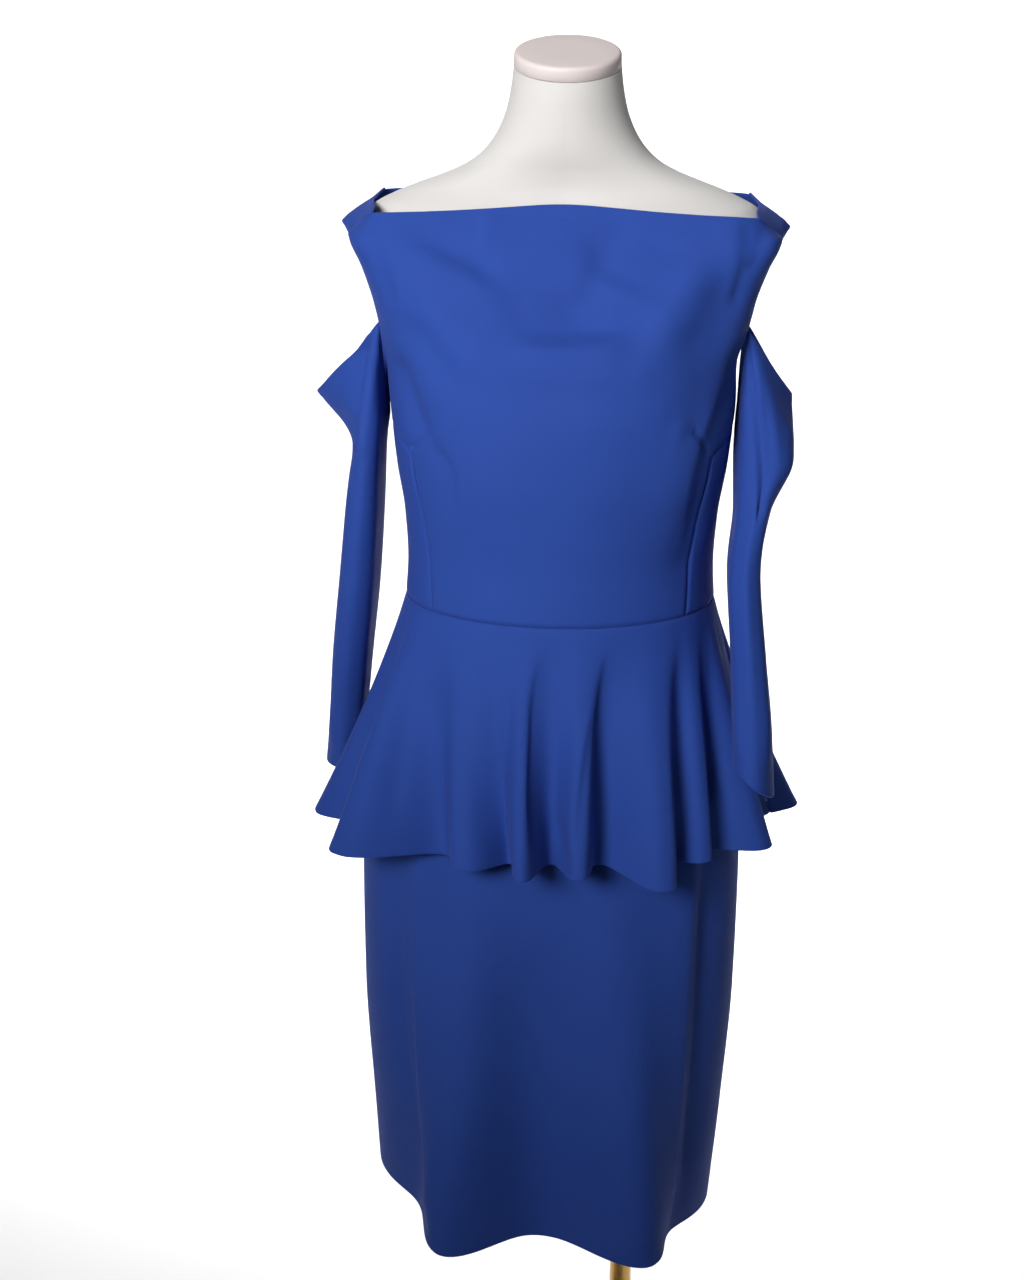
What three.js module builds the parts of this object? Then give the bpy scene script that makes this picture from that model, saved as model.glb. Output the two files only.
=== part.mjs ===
import * as THREE from 'three';

// Off-shoulder dress with a peplum, worn by a limbless dress form on a stand.
// Millimetres, +Z up, the front of the dress towards -Y, +X at the viewer's right.
// The origin is the centre of the stand's underside.

// Cloth
const CLOTH = 2;
const SEAM = 0.3;
const HALF_SEAM = SEAM / 2;

// Heights of the main lines
const WAIST_FRONT = 1002.5;
const WAIST_PRINCESS = 1005;
const WAIST_SIDE = 1009;
const WAIST_BACK = 1012;
const APEX = 1272;
const NECKLINE_FRONT = 1390;
const NECKLINE_CORNER = 1379;
const NECKLINE_BACK = 1397;
const ARMHOLE_TOP = 1352;
const PEPLUM_DROP = 222;
const SKIRT_HEM = 390;

// Shoulder straps: the line over the shoulder, from the neck edge to the tip
const STRAP_NECK = { x: 182, z: 1387 };
const STRAP_TIP = { x: 212, z: 1368.5 };
const STRAP_BULGE = 0.5;
const STRAP_CURVE = 1.5;
const STRAP_RISE = 10; // the strap goes on in the direction that the cloth has over this height below it

// The bodice's outside, by height: half width, depth in front and behind, squareness of the section
const BODICE = [
  { z: 1000, half: 151, front: 119, back: 95, power: 2.0 },
  { z: 1045, half: 148.5, front: 118, back: 95, power: 2.0 },
  { z: 1090, half: 151, front: 122, back: 98, power: 2.1 },
  { z: 1140, half: 159, front: 128, back: 104, power: 2.2 },
  { z: 1190, half: 164.5, front: 130, back: 108, power: 2.3 },
  { z: 1235, half: 169, front: 123, back: 108, power: 2.5 },
  { z: 1272, half: 175, front: 111, back: 106, power: 2.9 },
  { z: 1291, half: 179, front: 104, back: 104, power: 3.3 },
  { z: 1304, half: 182.5, front: 99, back: 102, power: 3.6 },
  { z: 1331, half: 192, front: 88, back: 94, power: 4.4 },
  { z: 1352, half: 201.5, front: 79, back: 84, power: 5.2 },
  { z: 1359, half: 203, front: 76, back: 80, power: 5.4 },
  { z: 1366, half: 197, front: 73, back: 76, power: 5.6 },
  { z: 1379, half: 186, front: 67, back: 69, power: 6 },
  { z: 1398, half: 180, front: 61, back: 60, power: 6 },
];

// How far the armhole edge stands from the middle of the front or back, in degrees
const ARMHOLE = [
  { z: 1000, angle: 90 },
  { z: 1187, angle: 90 },
  { z: 1210, angle: 86 },
  { z: 1235, angle: 82 },
  { z: 1272, angle: 79.5 },
  { z: 1304, angle: 82 },
  { z: 1331, angle: 84 },
  { z: 1352, angle: 86 },
];

// Rows of the bodice from the waist (0) to the neckline (1): height at the middle, at the princess
// line and at the side or armhole edge, and where the princess line runs, in degrees
const FRONT_ROWS = [
  { row: 0, middle: WAIST_FRONT, princess: WAIST_PRINCESS, edge: WAIST_SIDE, line: 60 },
  { row: 0.15, middle: 1060, princess: 1060, edge: 1073, line: 62.5 },
  { row: 0.4, middle: 1160, princess: 1160, edge: 1183, line: 64 },
  { row: 0.66, middle: 1276, princess: 1270, edge: APEX, line: 71 },
  { row: 1, middle: NECKLINE_FRONT, princess: NECKLINE_CORNER, edge: ARMHOLE_TOP, line: 74.5 },
];
const BACK_ROWS = [
  { row: 0, middle: WAIST_BACK, princess: 1011, edge: WAIST_SIDE, line: 66 },
  { row: 0.4, middle: 1165, princess: 1168, edge: 1183, line: 68 },
  { row: 0.66, middle: 1280, princess: 1278, edge: APEX, line: 72 },
  { row: 1, middle: NECKLINE_BACK, princess: 1392, edge: ARMHOLE_TOP, line: 75 },
];
const PRINCESS_TOP = 0.4;
const PRINCESS = 0.8;

// Soft troughs and ridges of the front, from one end to the other: depth is positive outwards
const DRAPES = [
  { x0: 30, z0: 1360, x1: 12, z1: 1300, depth: -5, width: 24 },
  { x0: -30, z0: 1290, x1: 55, z1: 1280, depth: -4, width: 26 },
  { x0: -75, z0: 1255, x1: 70, z1: 1248, depth: 4, width: 22 },
  { x0: 158, z0: 1300, x1: 122, z1: 1200, depth: -7, width: 20 },
  { x0: -160, z0: 1245, x1: -128, z1: 1190, depth: -5, width: 16 },
];
const DRAPE_FADE = { degrees: 30, height: 25 };

// Where the sleeve is set in the armhole, around it from the underarm (0) to the apex (90), how far
// outside the armhole, and how long the first stretch counts, from there to the first section
const SET_IN_GAP = 1;
const RIM_SHARE = 1.6;
const SET_IN = [
  { around: 0, z: 1186 },
  { around: 30, z: 1204 },
  { around: 60, z: 1238 },
  { around: 90, z: 1271 },
];

// Sleeves, flattened tubes, around = 0 at the body, 90 at the front, 180 outside and 270 at the back.
// The rim gives the free edge from the front apex out to the tip and in to the back apex.
const SLEEVES = {
  left: {
    side: -1,
    rim: [
      { around: 135, x: 209, y: -12, z: 1236 },
      { around: 180, x: 240, y: 34, z: 1198 },
      { around: 225, x: 214, y: 46, z: 1221 },
    ],
    sections: [
      { z: 1150, x: 186, y: 4, halfX: 16, halfY: 60 },
      { z: 1100, x: 190, y: 8, halfX: 18, halfY: 60 },
      { z: 1020, x: 197, y: 16, halfX: 20, halfY: 56 },
      { z: 940, x: 206, y: 34, halfX: 20, halfY: 50 },
      { z: 870, x: 213, y: 56, halfX: 19, halfY: 44 },
      { z: 815, x: 219, y: 70, halfX: 18, halfY: 40 },
    ],
    cuffSlope: 0,
  },
  right: {
    side: 1,
    rim: [
      { around: 135, x: 196, y: -22, z: 1240 },
      { around: 180, x: 219, y: 4, z: 1208 },
      { around: 225, x: 202, y: 30, z: 1228 },
    ],
    sections: [
      { z: 1150, x: 193, y: -10, halfX: 29, halfY: 56 },
      { z: 1100, x: 183, y: -20, halfX: 18, halfY: 58 },
      { z: 1045, x: 176, y: -44, halfX: 16, halfY: 56 },
      { z: 970, x: 181, y: -78, halfX: 17, halfY: 50 },
      { z: 910, x: 185, y: -106, halfX: 19, halfY: 44 },
      { z: 864, x: 187, y: -128, halfX: 20, halfY: 38 },
    ],
    cuffSlope: -0.7,
  },
};

// Peplum: the hem's outline between its waves, and the waves
const WAVE_GROWTH = 1.5;
const WAVE_POWER = 2.8;
// A wave falls straight down, so at the waist it lies this many degrees further aside, less near the side seams
const WAVE_FALL = 20;
const WAVE_FALL_SIDE = 0.3;
const PEPLUM_HEM = { side: 204, front: 146, back: 166, power: 2.3 };
const WAVES = [
  { angle: -86, rise: 37, spread: 8, longer: 0 },
  { angle: -54, rise: 70, spread: 9, longer: -3 },
  { angle: -26, rise: 38, spread: 7.5, longer: 0 },
  { angle: -8.5, rise: 54, spread: 4.6, longer: 0 },
  { angle: 7.5, rise: 46, spread: 5.2, longer: 0 },
  { angle: 29, rise: 60, spread: 7.4, longer: 10 },
  { angle: 45, rise: 30, spread: 5, longer: -2 },
  { angle: 64, rise: 34, spread: 6, longer: 0 },
  { angle: 99, rise: 40, spread: 8, longer: 0 },
  { angle: 126, rise: 44, spread: 8, longer: 6 },
  { angle: 151, rise: 40, spread: 7, longer: 2 },
  { angle: 176, rise: 46, spread: 8, longer: 5 },
  { angle: 202, rise: 38, spread: 7, longer: 0 },
  { angle: 228, rise: 42, spread: 7.5, longer: 4 },
];

// Skirt, by height: middle, half width, depth in front and behind, squareness, height of the lobes
const SKIRT = [
  { z: 375, middle: -6, half: 168, front: 139, back: 142, power: 2.2, lobe: 64 },
  { z: 490, middle: -5, half: 177, front: 138, back: 145, power: 2.4, lobe: 40 },
  { z: 615, middle: -5, half: 185.5, front: 135, back: 148, power: 2.5, lobe: 19 },
  { z: 740, middle: -5, half: 187.5, front: 131, back: 149, power: 2.5, lobe: 5 },
  { z: 800, middle: -4, half: 185, front: 128, back: 146, power: 2.4, lobe: 0 },
  { z: 870, middle: -2, half: 176, front: 124, back: 134, power: 2.2, lobe: 0 },
  { z: 940, middle: 0, half: 162, front: 119, back: 112, power: 2.1, lobe: 0 },
  { z: 1009, middle: 0, half: 151, front: 119, back: 95.5, power: 2.0, lobe: 0 },
];
const LOBES = [
  { angle: -28, spread: 14, longer: 12 },
  { angle: 29, spread: 14, longer: 2 },
];
const HEM_TILT = 0.107;
const HEM_RISE = 7;

// At the waist the skirt lies inside the peplum, and comes out to its own size lower down
const SKIRT_INSET = 3.7;
const SKIRT_INSET_REACH = 0.2;

// Dress form, by height: half width, depth in front and behind
const FORM = [
  { z: 690, half: 150, front: 96, back: 108 },
  { z: 740, half: 161, front: 102, back: 122 },
  { z: 800, half: 165, front: 106, back: 128 },
  { z: 870, half: 156, front: 104, back: 114 },
  { z: 940, half: 137, front: 97, back: 92 },
  { z: 1010, half: 121, front: 92, back: 80 },
  { z: 1045, half: 119, front: 93, back: 79 },
  { z: 1100, half: 128, front: 101, back: 86 },
  { z: 1160, half: 142, front: 114, back: 94 },
  { z: 1200, half: 149, front: 118, back: 98 },
  { z: 1250, half: 150, front: 108, back: 99 },
  { z: 1300, half: 157, front: 88, back: 94 },
  { z: 1335, half: 171, front: 72, back: 82 },
  { z: 1358, half: 183, front: 61, back: 68 },
  { z: 1373, half: 187, front: 54, back: 58 },
  { z: 1383, half: 183, front: 48, back: 50 },
  { z: 1389, half: 174, front: 44, back: 45 },
  { z: 1394, half: 162, front: 41, back: 41 },
  { z: 1401, half: 148, front: 40, back: 40 },
  { z: 1409, half: 125, front: 41, back: 41 },
  { z: 1417, half: 104, front: 43, back: 44 },
  { z: 1427, half: 86, front: 46, back: 48 },
  { z: 1440, half: 73, front: 48.5, back: 51 },
  { z: 1455, half: 63.5, front: 49.5, back: 53 },
  { z: 1475, half: 56, front: 50, back: 52.5 },
  { z: 1494, half: 52.3, front: 50, back: 51 },
  { z: 1513, half: 50, front: 48, back: 48 },
];
const NECK_TILT = 16;
const NECK_LEAN = 8;
const CAP_RADIUS = 50;
const CAP_HEIGHT = 14;
const CAP_ROUND = 4;

// Stand
const POLE_X = 74;
const POLE_RADIUS = 11;
const SOCKET_RADIUS = 24;
const SOCKET_HEIGHT = 14;
const FLANGE_RADIUS = 26;
const FLANGE_HEIGHT = 12;
const BASE_RADIUS = 190;
const BASE_HEIGHT = 8;
const BASE_ROUND = 2;

// Number of steps in the meshes
const FRONT_COLUMNS = 20;
const SIDE_COLUMNS = 4;
const BACK_COLUMNS = 8;
const LOW_ROWS = 6;
const HIGH_ROWS = 10;
const STRAP_ROWS = 4;
const SLEEVE_COLUMNS = 20;
const SLEEVE_ROWS = 10;
const PEPLUM_ROWS = 5;
const PEPLUM_STEP = 7;
const PEPLUM_NEAREST = 1.4;
const WAVE_COLUMNS = [-2, -1.35, -0.9, -0.45, 0, 0.45, 0.9, 1.35, 2];
const SKIRT_ROWS = 8;
const SKIRT_COLUMNS = 30;
const FORM_COLUMNS = 32;
const FORM_STEP = 26;
const ROUND_STEPS = 32;

// How far off the points lie that give a normal, in columns and rows
const NEAR = [0.002, 0.002];
const NEAR_DEGREES = [0.2, 0.002];

const rad = THREE.MathUtils.degToRad;
const lerp = THREE.MathUtils.lerp;
const clamp = THREE.MathUtils.clamp;

// A smooth curve through one column of a table, without overshoot
function column(rows, key, name) {
  const at = rows.map((r) => r[key]);
  const value = rows.map((r) => r[name]);
  const step = at.slice(1).map((a, i) => (value[i + 1] - value[i]) / (a - at[i]));
  const slope = at.map((_, i) => {
    const before = step[Math.max(i - 1, 0)];
    const after = step[Math.min(i, step.length - 1)];
    return before * after > 0 ? (2 * before * after) / (before + after) : 0;
  });
  return (a) => {
    const x = clamp(a, at[0], at[at.length - 1]);
    let i = 0;
    while (i < at.length - 2 && x > at[i + 1]) i += 1;
    const span = at[i + 1] - at[i];
    const t = (x - at[i]) / span;
    const h = t * t * (3 - 2 * t);
    const start = slope[i] * span * t * (1 - t) * (1 - t);
    const end = slope[i + 1] * span * t * t * (t - 1);
    return lerp(value[i], value[i + 1], h) + start + end;
  };
}

function columns(rows, key, names) {
  return Object.fromEntries(names.map((name) => [name, column(rows, key, name)]));
}

// Distance from the axis to a rounded section, at an angle from the middle of its face
function sectionRadius(angle, half, depth, power) {
  const across = Math.abs(Math.sin(angle) / half) ** power;
  const along = Math.abs(Math.cos(angle) / depth) ** power;
  return (across + along) ** (-1 / power);
}

// Rises from 0 to 1 and falls again: 2 gives a soft ridge, more a flatter top and steeper sides
function bell(distance, spread, power = 2) {
  return Math.exp(-(Math.abs(distance / spread) ** power));
}

function angleBetween(a, b) {
  return ((a - b + 540) % 360) - 180;
}

// A number of equal steps from one value to another
function steps(from, to, count) {
  return Array.from({ length: count + 1 }, (_, i) => lerp(from, to, i / count));
}

// The normal of a surface at one of its points, from the points close by
function normalAt(point, col, row, [colStep, rowStep]) {
  const along = point(col + colStep, row).sub(point(col - colStep, row));
  const up = point(col, row + rowStep).sub(point(col, row - rowStep));
  return along.cross(up).normalize();
}

// A closed wall on a grid of points: its outside lies where columns x rows points to, and its inside
// one cloth deeper. A cell is left out where keep says so; around joins the last column to the first.
function sheet(name, material, cols, rows, point, { keep = () => true, around = false, near = NEAR } = {}) {
  const width = cols.length;
  const outward = Math.sign((cols[1] - cols[0]) * (rows[1] - rows[0]));
  const cells = [];
  rows.slice(1).forEach((_, j) => {
    for (let i = 0; i < (around ? width : width - 1); i += 1) {
      if (keep(i, j)) cells.push([i, j]);
    }
  });
  const place = new Map();
  const position = [];
  const vertex = (i, j) => {
    const key = j * width + (i % width);
    if (!place.has(key)) {
      place.set(key, place.size * 2);
      const [col, row] = [cols[i % width], rows[j]];
      const outer = point(col, row);
      const normal = normalAt(point, col, row, near);
      const inner = outer.clone().addScaledVector(normal, -CLOTH * outward);
      position.push(...outer.toArray(), ...inner.toArray());
    }
    return place.get(key);
  };
  const index = [];
  const open = new Map();
  for (const [i, j] of cells) {
    const ring = [vertex(i, j), vertex(i + 1, j), vertex(i + 1, j + 1), vertex(i, j + 1)];
    const [a, b, c, d] = ring;
    index.push(a, b, c, a, c, d);
    index.push(a + 1, c + 1, b + 1, a + 1, d + 1, c + 1);
    ring.forEach((from, k) => {
      const to = ring[(k + 1) % ring.length];
      if (!open.delete(`${to} ${from}`)) open.set(`${from} ${to}`, [from, to]);
    });
  }
  for (const [a, b] of open.values()) {
    index.push(b, a, a + 1, b, a + 1, b + 1);
  }
  const mesh = new THREE.Mesh(indexed(position, index), material);
  mesh.name = name;
  return mesh;
}

function indexed(position, index) {
  const geometry = new THREE.BufferGeometry();
  geometry.setAttribute('position', new THREE.Float32BufferAttribute(position, 3));
  geometry.setIndex(index);
  geometry.computeVertexNormals();
  return geometry;
}

// Bodice

const bodice = columns(BODICE, 'z', ['half', 'front', 'back', 'power']);
const armholeAngle = column(ARMHOLE, 'z', 'angle');
const rowKeys = ['middle', 'princess', 'edge', 'line'];
const rowsOf = {
  front: columns(FRONT_ROWS, 'row', rowKeys),
  back: columns(BACK_ROWS, 'row', rowKeys),
};

function drape(x, z) {
  let out = 0;
  for (const { x0, z0, x1, z1, depth, width } of DRAPES) {
    const length = Math.hypot(x1 - x0, z1 - z0);
    const along = ((x - x0) * (x1 - x0) + (z - z0) * (z1 - z0)) / length;
    const aside = ((x - x0) * (z1 - z0) - (z - z0) * (x1 - x0)) / length;
    const past = along - clamp(along, 0, length);
    out += depth * bell(Math.hypot(aside, past), width);
  }
  return out;
}

function onBodice(face, side, degrees, z) {
  const angle = rad(degrees);
  const r = sectionRadius(angle, bodice.half(z), bodice[face](z), bodice.power(z));
  const x = side * r * Math.sin(angle);
  const ahead = r * Math.cos(angle);
  if (face === 'back') return new THREE.Vector3(x, ahead, z);
  const fromSide = clamp((90 - degrees) / DRAPE_FADE.degrees, 0, 1);
  const fromTop = clamp((NECKLINE_CORNER - z) / DRAPE_FADE.height, 0, 1);
  return new THREE.Vector3(x, -ahead - drape(x, z) * fromSide * fromTop, z);
}

// A point of the front or back: across runs from 0 at the middle to 1 at the side or armhole edge,
// row from 0 at the waist to 1 at the neckline, and on to 2 at the shoulder seam of the strap
function bodicePoint(face, side, across, row) {
  const table = rowsOf[face];
  const r = Math.min(row, 1);
  const line = table.line(r);
  const inner = Math.min(across / PRINCESS, 1);
  const outer = Math.max((across - PRINCESS) / (1 - PRINCESS), 0);
  const middle = lerp(table.middle(r), table.princess(r), inner ** 2);
  const z = lerp(middle, table.edge(r), outer);
  const edgeAngle = armholeAngle(z) - (HALF_SEAM / bodice.half(z)) * (180 / Math.PI);
  const start = onBodice(face, side, lerp(line * inner, edgeAngle, outer), z);
  if (row <= 1) return start;
  const seam = face === 'front' ? -HALF_SEAM : HALF_SEAM;
  const ridge = new THREE.Vector3(
    side * lerp(STRAP_NECK.x, STRAP_TIP.x, outer),
    seam,
    lerp(STRAP_NECK.z, STRAP_TIP.z, outer ** STRAP_CURVE),
  );
  const below = onBodice(face, side, lerp(line, edgeAngle, outer), z - STRAP_RISE);
  const reach = ridge.distanceTo(start) * STRAP_BULGE;
  const rise = start.clone().sub(below).normalize().multiplyScalar(reach);
  const over = new THREE.Vector3(0, face === 'front' ? reach : -reach, 0);
  const t = row - 1;
  const h = t * t * (3 - 2 * t);
  return start.clone().lerp(ridge, h)
    .addScaledVector(rise, t * (1 - t) * (1 - t))
    .addScaledVector(over, t * t * (t - 1));
}

const dressMaterial = () => new THREE.MeshStandardMaterial({ color: 0x3a54a5, roughness: 0.8, metalness: 0 });

// Half a seam as a share of the cloth's length from the middle to the side, in front and behind
const FRONT_REACH = 200;
const BACK_REACH = 110;
const SHIFT = HALF_SEAM / FRONT_REACH;
const CENTRE_SHIFT = HALF_SEAM / BACK_REACH;

function bodiceRows() {
  const low = steps(0, PRINCESS_TOP, LOW_ROWS);
  const high = steps(PRINCESS_TOP + SHIFT, 1, HIGH_ROWS);
  return [...low.slice(0, -1), ...high, ...steps(1, 2, STRAP_ROWS).slice(1)];
}

function bodiceFront() {
  const edge = PRINCESS - SHIFT;
  const sideSteps = steps(1, edge, SIDE_COLUMNS);
  const cols = [
    ...sideSteps.map((a) => -a),
    ...steps(-edge, edge, FRONT_COLUMNS).slice(1, -1),
    ...sideSteps.slice().reverse(),
  ];
  const rows = bodiceRows();
  const strap = (i) => i < SIDE_COLUMNS || i >= cols.length - 1 - SIDE_COLUMNS;
  const keep = (i, j) => {
    if (rows[j] >= 1) return strap(i);
    return rows[j] > PRINCESS_TOP || !strap(i);
  };
  const point = (a, row) => bodicePoint('front', Math.sign(a) || 1, Math.abs(a), row);
  return sheet('bodice_front', dressMaterial(), cols, rows, point, { keep });
}

function bodiceSide(side) {
  const across = steps(PRINCESS + SHIFT, 1, SIDE_COLUMNS).map((a) => side * a);
  const cols = side < 0 ? across.reverse() : across;
  const rows = steps(0, PRINCESS_TOP - SHIFT, LOW_ROWS);
  const point = (a, row) => bodicePoint('front', side, Math.abs(a), row);
  return sheet(`bodice_side_${side < 0 ? 'left' : 'right'}`, dressMaterial(), cols, rows, point);
}

function bodiceBack(side) {
  const middle = CENTRE_SHIFT;
  const across = [
    ...steps(middle, PRINCESS, BACK_COLUMNS),
    ...steps(PRINCESS, 1, SIDE_COLUMNS).slice(1),
  ];
  const cols = side > 0 ? across.reverse() : across;
  const rows = bodiceRows();
  const strap = (i) => (side > 0 ? i < SIDE_COLUMNS : i >= cols.length - 1 - SIDE_COLUMNS);
  const keep = (i, j) => rows[j] < 1 || strap(i);
  const point = (a, row) => bodicePoint('back', side, a, row);
  return sheet(`bodice_back_${side < 0 ? 'left' : 'right'}`, dressMaterial(), cols, rows, point, { keep });
}

// Sleeves

// The edge that the sleeve is sewn to, as a point just outside the bodice's armhole
function setIn(face, { around, z }) {
  const edge = onBodice(face, 1, armholeAngle(z), z);
  const turn = face === 'front' ? around : 360 - around;
  return { around: turn, x: edge.x + SET_IN_GAP, y: edge.y, z };
}

function sleeve(name, { side, rim, sections, cuffSlope }) {
  const front = SET_IN.map((row) => setIn('front', row));
  const back = SET_IN.map((row) => setIn('back', row)).reverse();
  const ring = columns([...front, ...rim, ...back], 'around', ['x', 'y', 'z']);
  const cuff = sections[sections.length - 1];
  const length = RIM_SHARE + sections.length - 1;
  const stations = (around) => {
    const angle = rad(around);
    const list = sections.map((s) => ({
      x: s.x - s.halfX * Math.cos(angle),
      y: s.y - s.halfY * Math.sin(angle),
      z: s.z + (s === cuff ? cuffSlope * -s.halfX * Math.cos(angle) : 0),
    }));
    const start = { x: ring.x(around), y: ring.y(around), z: ring.z(around) };
    return [{ ...start, at: 0 }, ...list.map((p, i) => ({ ...p, at: (RIM_SHARE + i) / length }))];
  };
  const point = (degrees, t) => {
    const path = columns(stations((degrees + 360) % 360), 'at', ['x', 'y', 'z']);
    return new THREE.Vector3(side * path.x(t), path.y(t), path.z(t));
  };
  const turn = steps(0, 360, SLEEVE_COLUMNS).slice(0, -1);
  const cols = side < 0 ? turn.reverse() : turn;
  return sheet(name, dressMaterial(), cols, steps(1, 0, SLEEVE_ROWS), point, {
    around: true,
    near: NEAR_DEGREES,
  });
}

// Peplum and skirt, as halves that meet at the side seams

function faceDepth(degrees, front, back) {
  return Math.cos(rad(degrees)) > 0 ? front : back;
}

// Height of the waist seam, as the bodice's lowest row has it
function waistHeight(degrees) {
  const away = Math.abs(angleBetween(degrees, 0));
  const table = away < 90 ? rowsOf.front : rowsOf.back;
  const fromMiddle = Math.min(away, 180 - away);
  const line = table.line(0);
  return fromMiddle < line
    ? lerp(table.middle(0), table.princess(0), (fromMiddle / line) ** 2)
    : lerp(table.princess(0), table.edge(0), (fromMiddle - line) / (90 - line));
}

function polar(degrees, r, z, middle = 0) {
  return new THREE.Vector3(middle + r * Math.sin(rad(degrees)), -r * Math.cos(rad(degrees)), z);
}

function waistRadius(degrees) {
  const depth = faceDepth(degrees, bodice.front(WAIST_SIDE), bodice.back(WAIST_SIDE));
  return sectionRadius(rad(degrees), bodice.half(WAIST_SIDE), depth, bodice.power(WAIST_SIDE));
}

function peplumPoint(degrees, t) {
  const depth = faceDepth(degrees, PEPLUM_HEM.front, PEPLUM_HEM.back);
  const hem = sectionRadius(rad(degrees), PEPLUM_HEM.side, depth, PEPLUM_HEM.power);
  const start = degrees + WAVE_FALL * Math.sin(rad(2 * degrees)) * Math.abs(Math.cos(rad(degrees))) ** WAVE_FALL_SIDE;
  let r = lerp(waistRadius(start), hem, t);
  let drop = PEPLUM_DROP;
  for (const { angle, rise, spread, longer } of WAVES) {
    const share = bell(angleBetween(degrees, angle), spread, WAVE_POWER);
    r += rise * share * Math.max(t, 0) ** WAVE_GROWTH;
    drop += longer * share;
  }
  return polar(lerp(start, degrees, t), r, waistHeight(start) - SEAM - drop * t);
}

// Columns close together on each wave, and no further apart than a step between them
function waveColumns(from, to) {
  const wanted = WAVES.flatMap((w) => WAVE_COLUMNS.map((k) => w.angle + k * w.spread))
    .flatMap((a) => [a, a - 360])
    .filter((a) => a > from + 1 && a < to - 1)
    .sort((a, b) => a - b);
  const list = [from];
  for (const a of [...wanted, to]) {
    const last = list[list.length - 1];
    const gap = a - last;
    if (gap < PEPLUM_NEAREST && a !== to) continue;
    const parts = Math.ceil(gap / PEPLUM_STEP);
    list.push(...steps(last, a, parts).slice(1));
  }
  return list;
}

const skirt = columns(SKIRT, 'z', ['middle', 'half', 'front', 'back', 'power', 'lobe']);

function skirtPoint(degrees, t) {
  const side = Math.sin(rad(degrees));
  const dip = LOBES.reduce((sum, l) => sum + l.longer * bell(angleBetween(degrees, l.angle), l.spread), 0);
  const hem = SKIRT_HEM + HEM_RISE * side ** 2 - HEM_TILT * side * skirt.half(SKIRT_HEM) - dip;
  const z = lerp(waistHeight(degrees) - 2 * SEAM, hem, t);
  const depth = faceDepth(degrees, skirt.front(z), skirt.back(z));
  const inset = SKIRT_INSET * clamp(1 - t / SKIRT_INSET_REACH, 0, 1);
  let r = sectionRadius(rad(degrees), skirt.half(z), depth, skirt.power(z)) - inset;
  for (const { angle, spread } of LOBES) {
    r += skirt.lobe(z) * bell(angleBetween(degrees, angle), spread);
  }
  return polar(degrees, r, z, skirt.middle(z));
}

// Both halves turn the same way, so that their outside is the same side
const HALVES = {
  front: { from: -90, to: 90 },
  back: { from: 90, to: 270 },
};

function halves(prefix, colsBetween, rows, point, gap) {
  const shift = (gap / bodice.half(WAIST_SIDE)) * (180 / Math.PI);
  return Object.entries(HALVES).map(([face, { from, to }]) => {
    const cols = colsBetween(from + shift, to - shift);
    return sheet(`${prefix}_${face}`, dressMaterial(), cols, rows, point, { near: NEAR_DEGREES });
  });
}

// Dress form

const form = columns(FORM, 'z', ['half', 'front', 'back']);
const NECK_START = 1420;
const NECK_TOP = FORM[FORM.length - 1].z;

function formPoint(degrees, z) {
  const depth = faceDepth(degrees, form.front(z), form.back(z));
  const p = polar(degrees, sectionRadius(rad(degrees), form.half(z), depth, 2), z);
  const up = clamp((z - NECK_START) / (NECK_TOP - NECK_START), 0, 1);
  p.z += p.y * Math.tan(rad(NECK_TILT)) * up ** 1.5;
  p.y -= NECK_LEAN * up;
  return p;
}

function formRows() {
  return FORM.flatMap(({ z }, i) => {
    if (i === 0) return [z];
    const below = FORM[i - 1].z;
    return steps(below, z, Math.ceil((z - below) / FORM_STEP)).slice(1);
  });
}

function formTorso(material) {
  const rows = formRows();
  const angles = steps(0, 360, FORM_COLUMNS).slice(0, -1);
  const position = rows.flatMap((z) => angles.flatMap((a) => formPoint(a, z).toArray()));
  const n = angles.length;
  const index = [];
  for (let j = 0; j < rows.length - 1; j += 1) {
    for (let i = 0; i < n; i += 1) {
      const [a, b] = [j * n + i, j * n + ((i + 1) % n)];
      index.push(a, b, b + n, a, b + n, a + n);
    }
  }
  const top = (rows.length - 1) * n;
  for (let i = 1; i < n - 1; i += 1) {
    index.push(0, i + 1, i, top, top + i, top + i + 1);
  }
  const mesh = new THREE.Mesh(indexed(position, index), material);
  mesh.name = 'form_torso';
  return mesh;
}

// Turns a profile of (radius, height) pairs that starts and ends on the axis round +Z
function turned(name, material, profile) {
  const points = profile.map(([r, z]) => new THREE.Vector2(r, z));
  const geometry = new THREE.LatheGeometry(points, ROUND_STEPS);
  geometry.rotateX(Math.PI / 2);
  const mesh = new THREE.Mesh(geometry, material);
  mesh.name = name;
  return mesh;
}

function roundedEdge(radius, height, round, count) {
  return steps(0, 90, count).map((a) => [
    radius - round + round * Math.cos(rad(a)),
    height - round + round * Math.sin(rad(a)),
  ]);
}

function neckCap(material) {
  const profile = [[0, 0], [CAP_RADIUS, 0], ...roundedEdge(CAP_RADIUS, CAP_HEIGHT, CAP_ROUND, 4), [0, CAP_HEIGHT]];
  const cap = turned('form_neck_cap', material, profile);
  cap.rotation.x = rad(NECK_TILT);
  cap.position.set(0, -NECK_LEAN, NECK_TOP).add(new THREE.Vector3(0, 0, SEAM));
  return cap;
}

// Stand

function disc(name, material, radius, height, round, bottom) {
  const top = round ? roundedEdge(radius, height, round, 3) : [[radius, height]];
  const mesh = turned(name, material, [[0, 0], [radius, 0], ...top, [0, height]]);
  mesh.position.z = bottom;
  return mesh;
}

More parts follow.
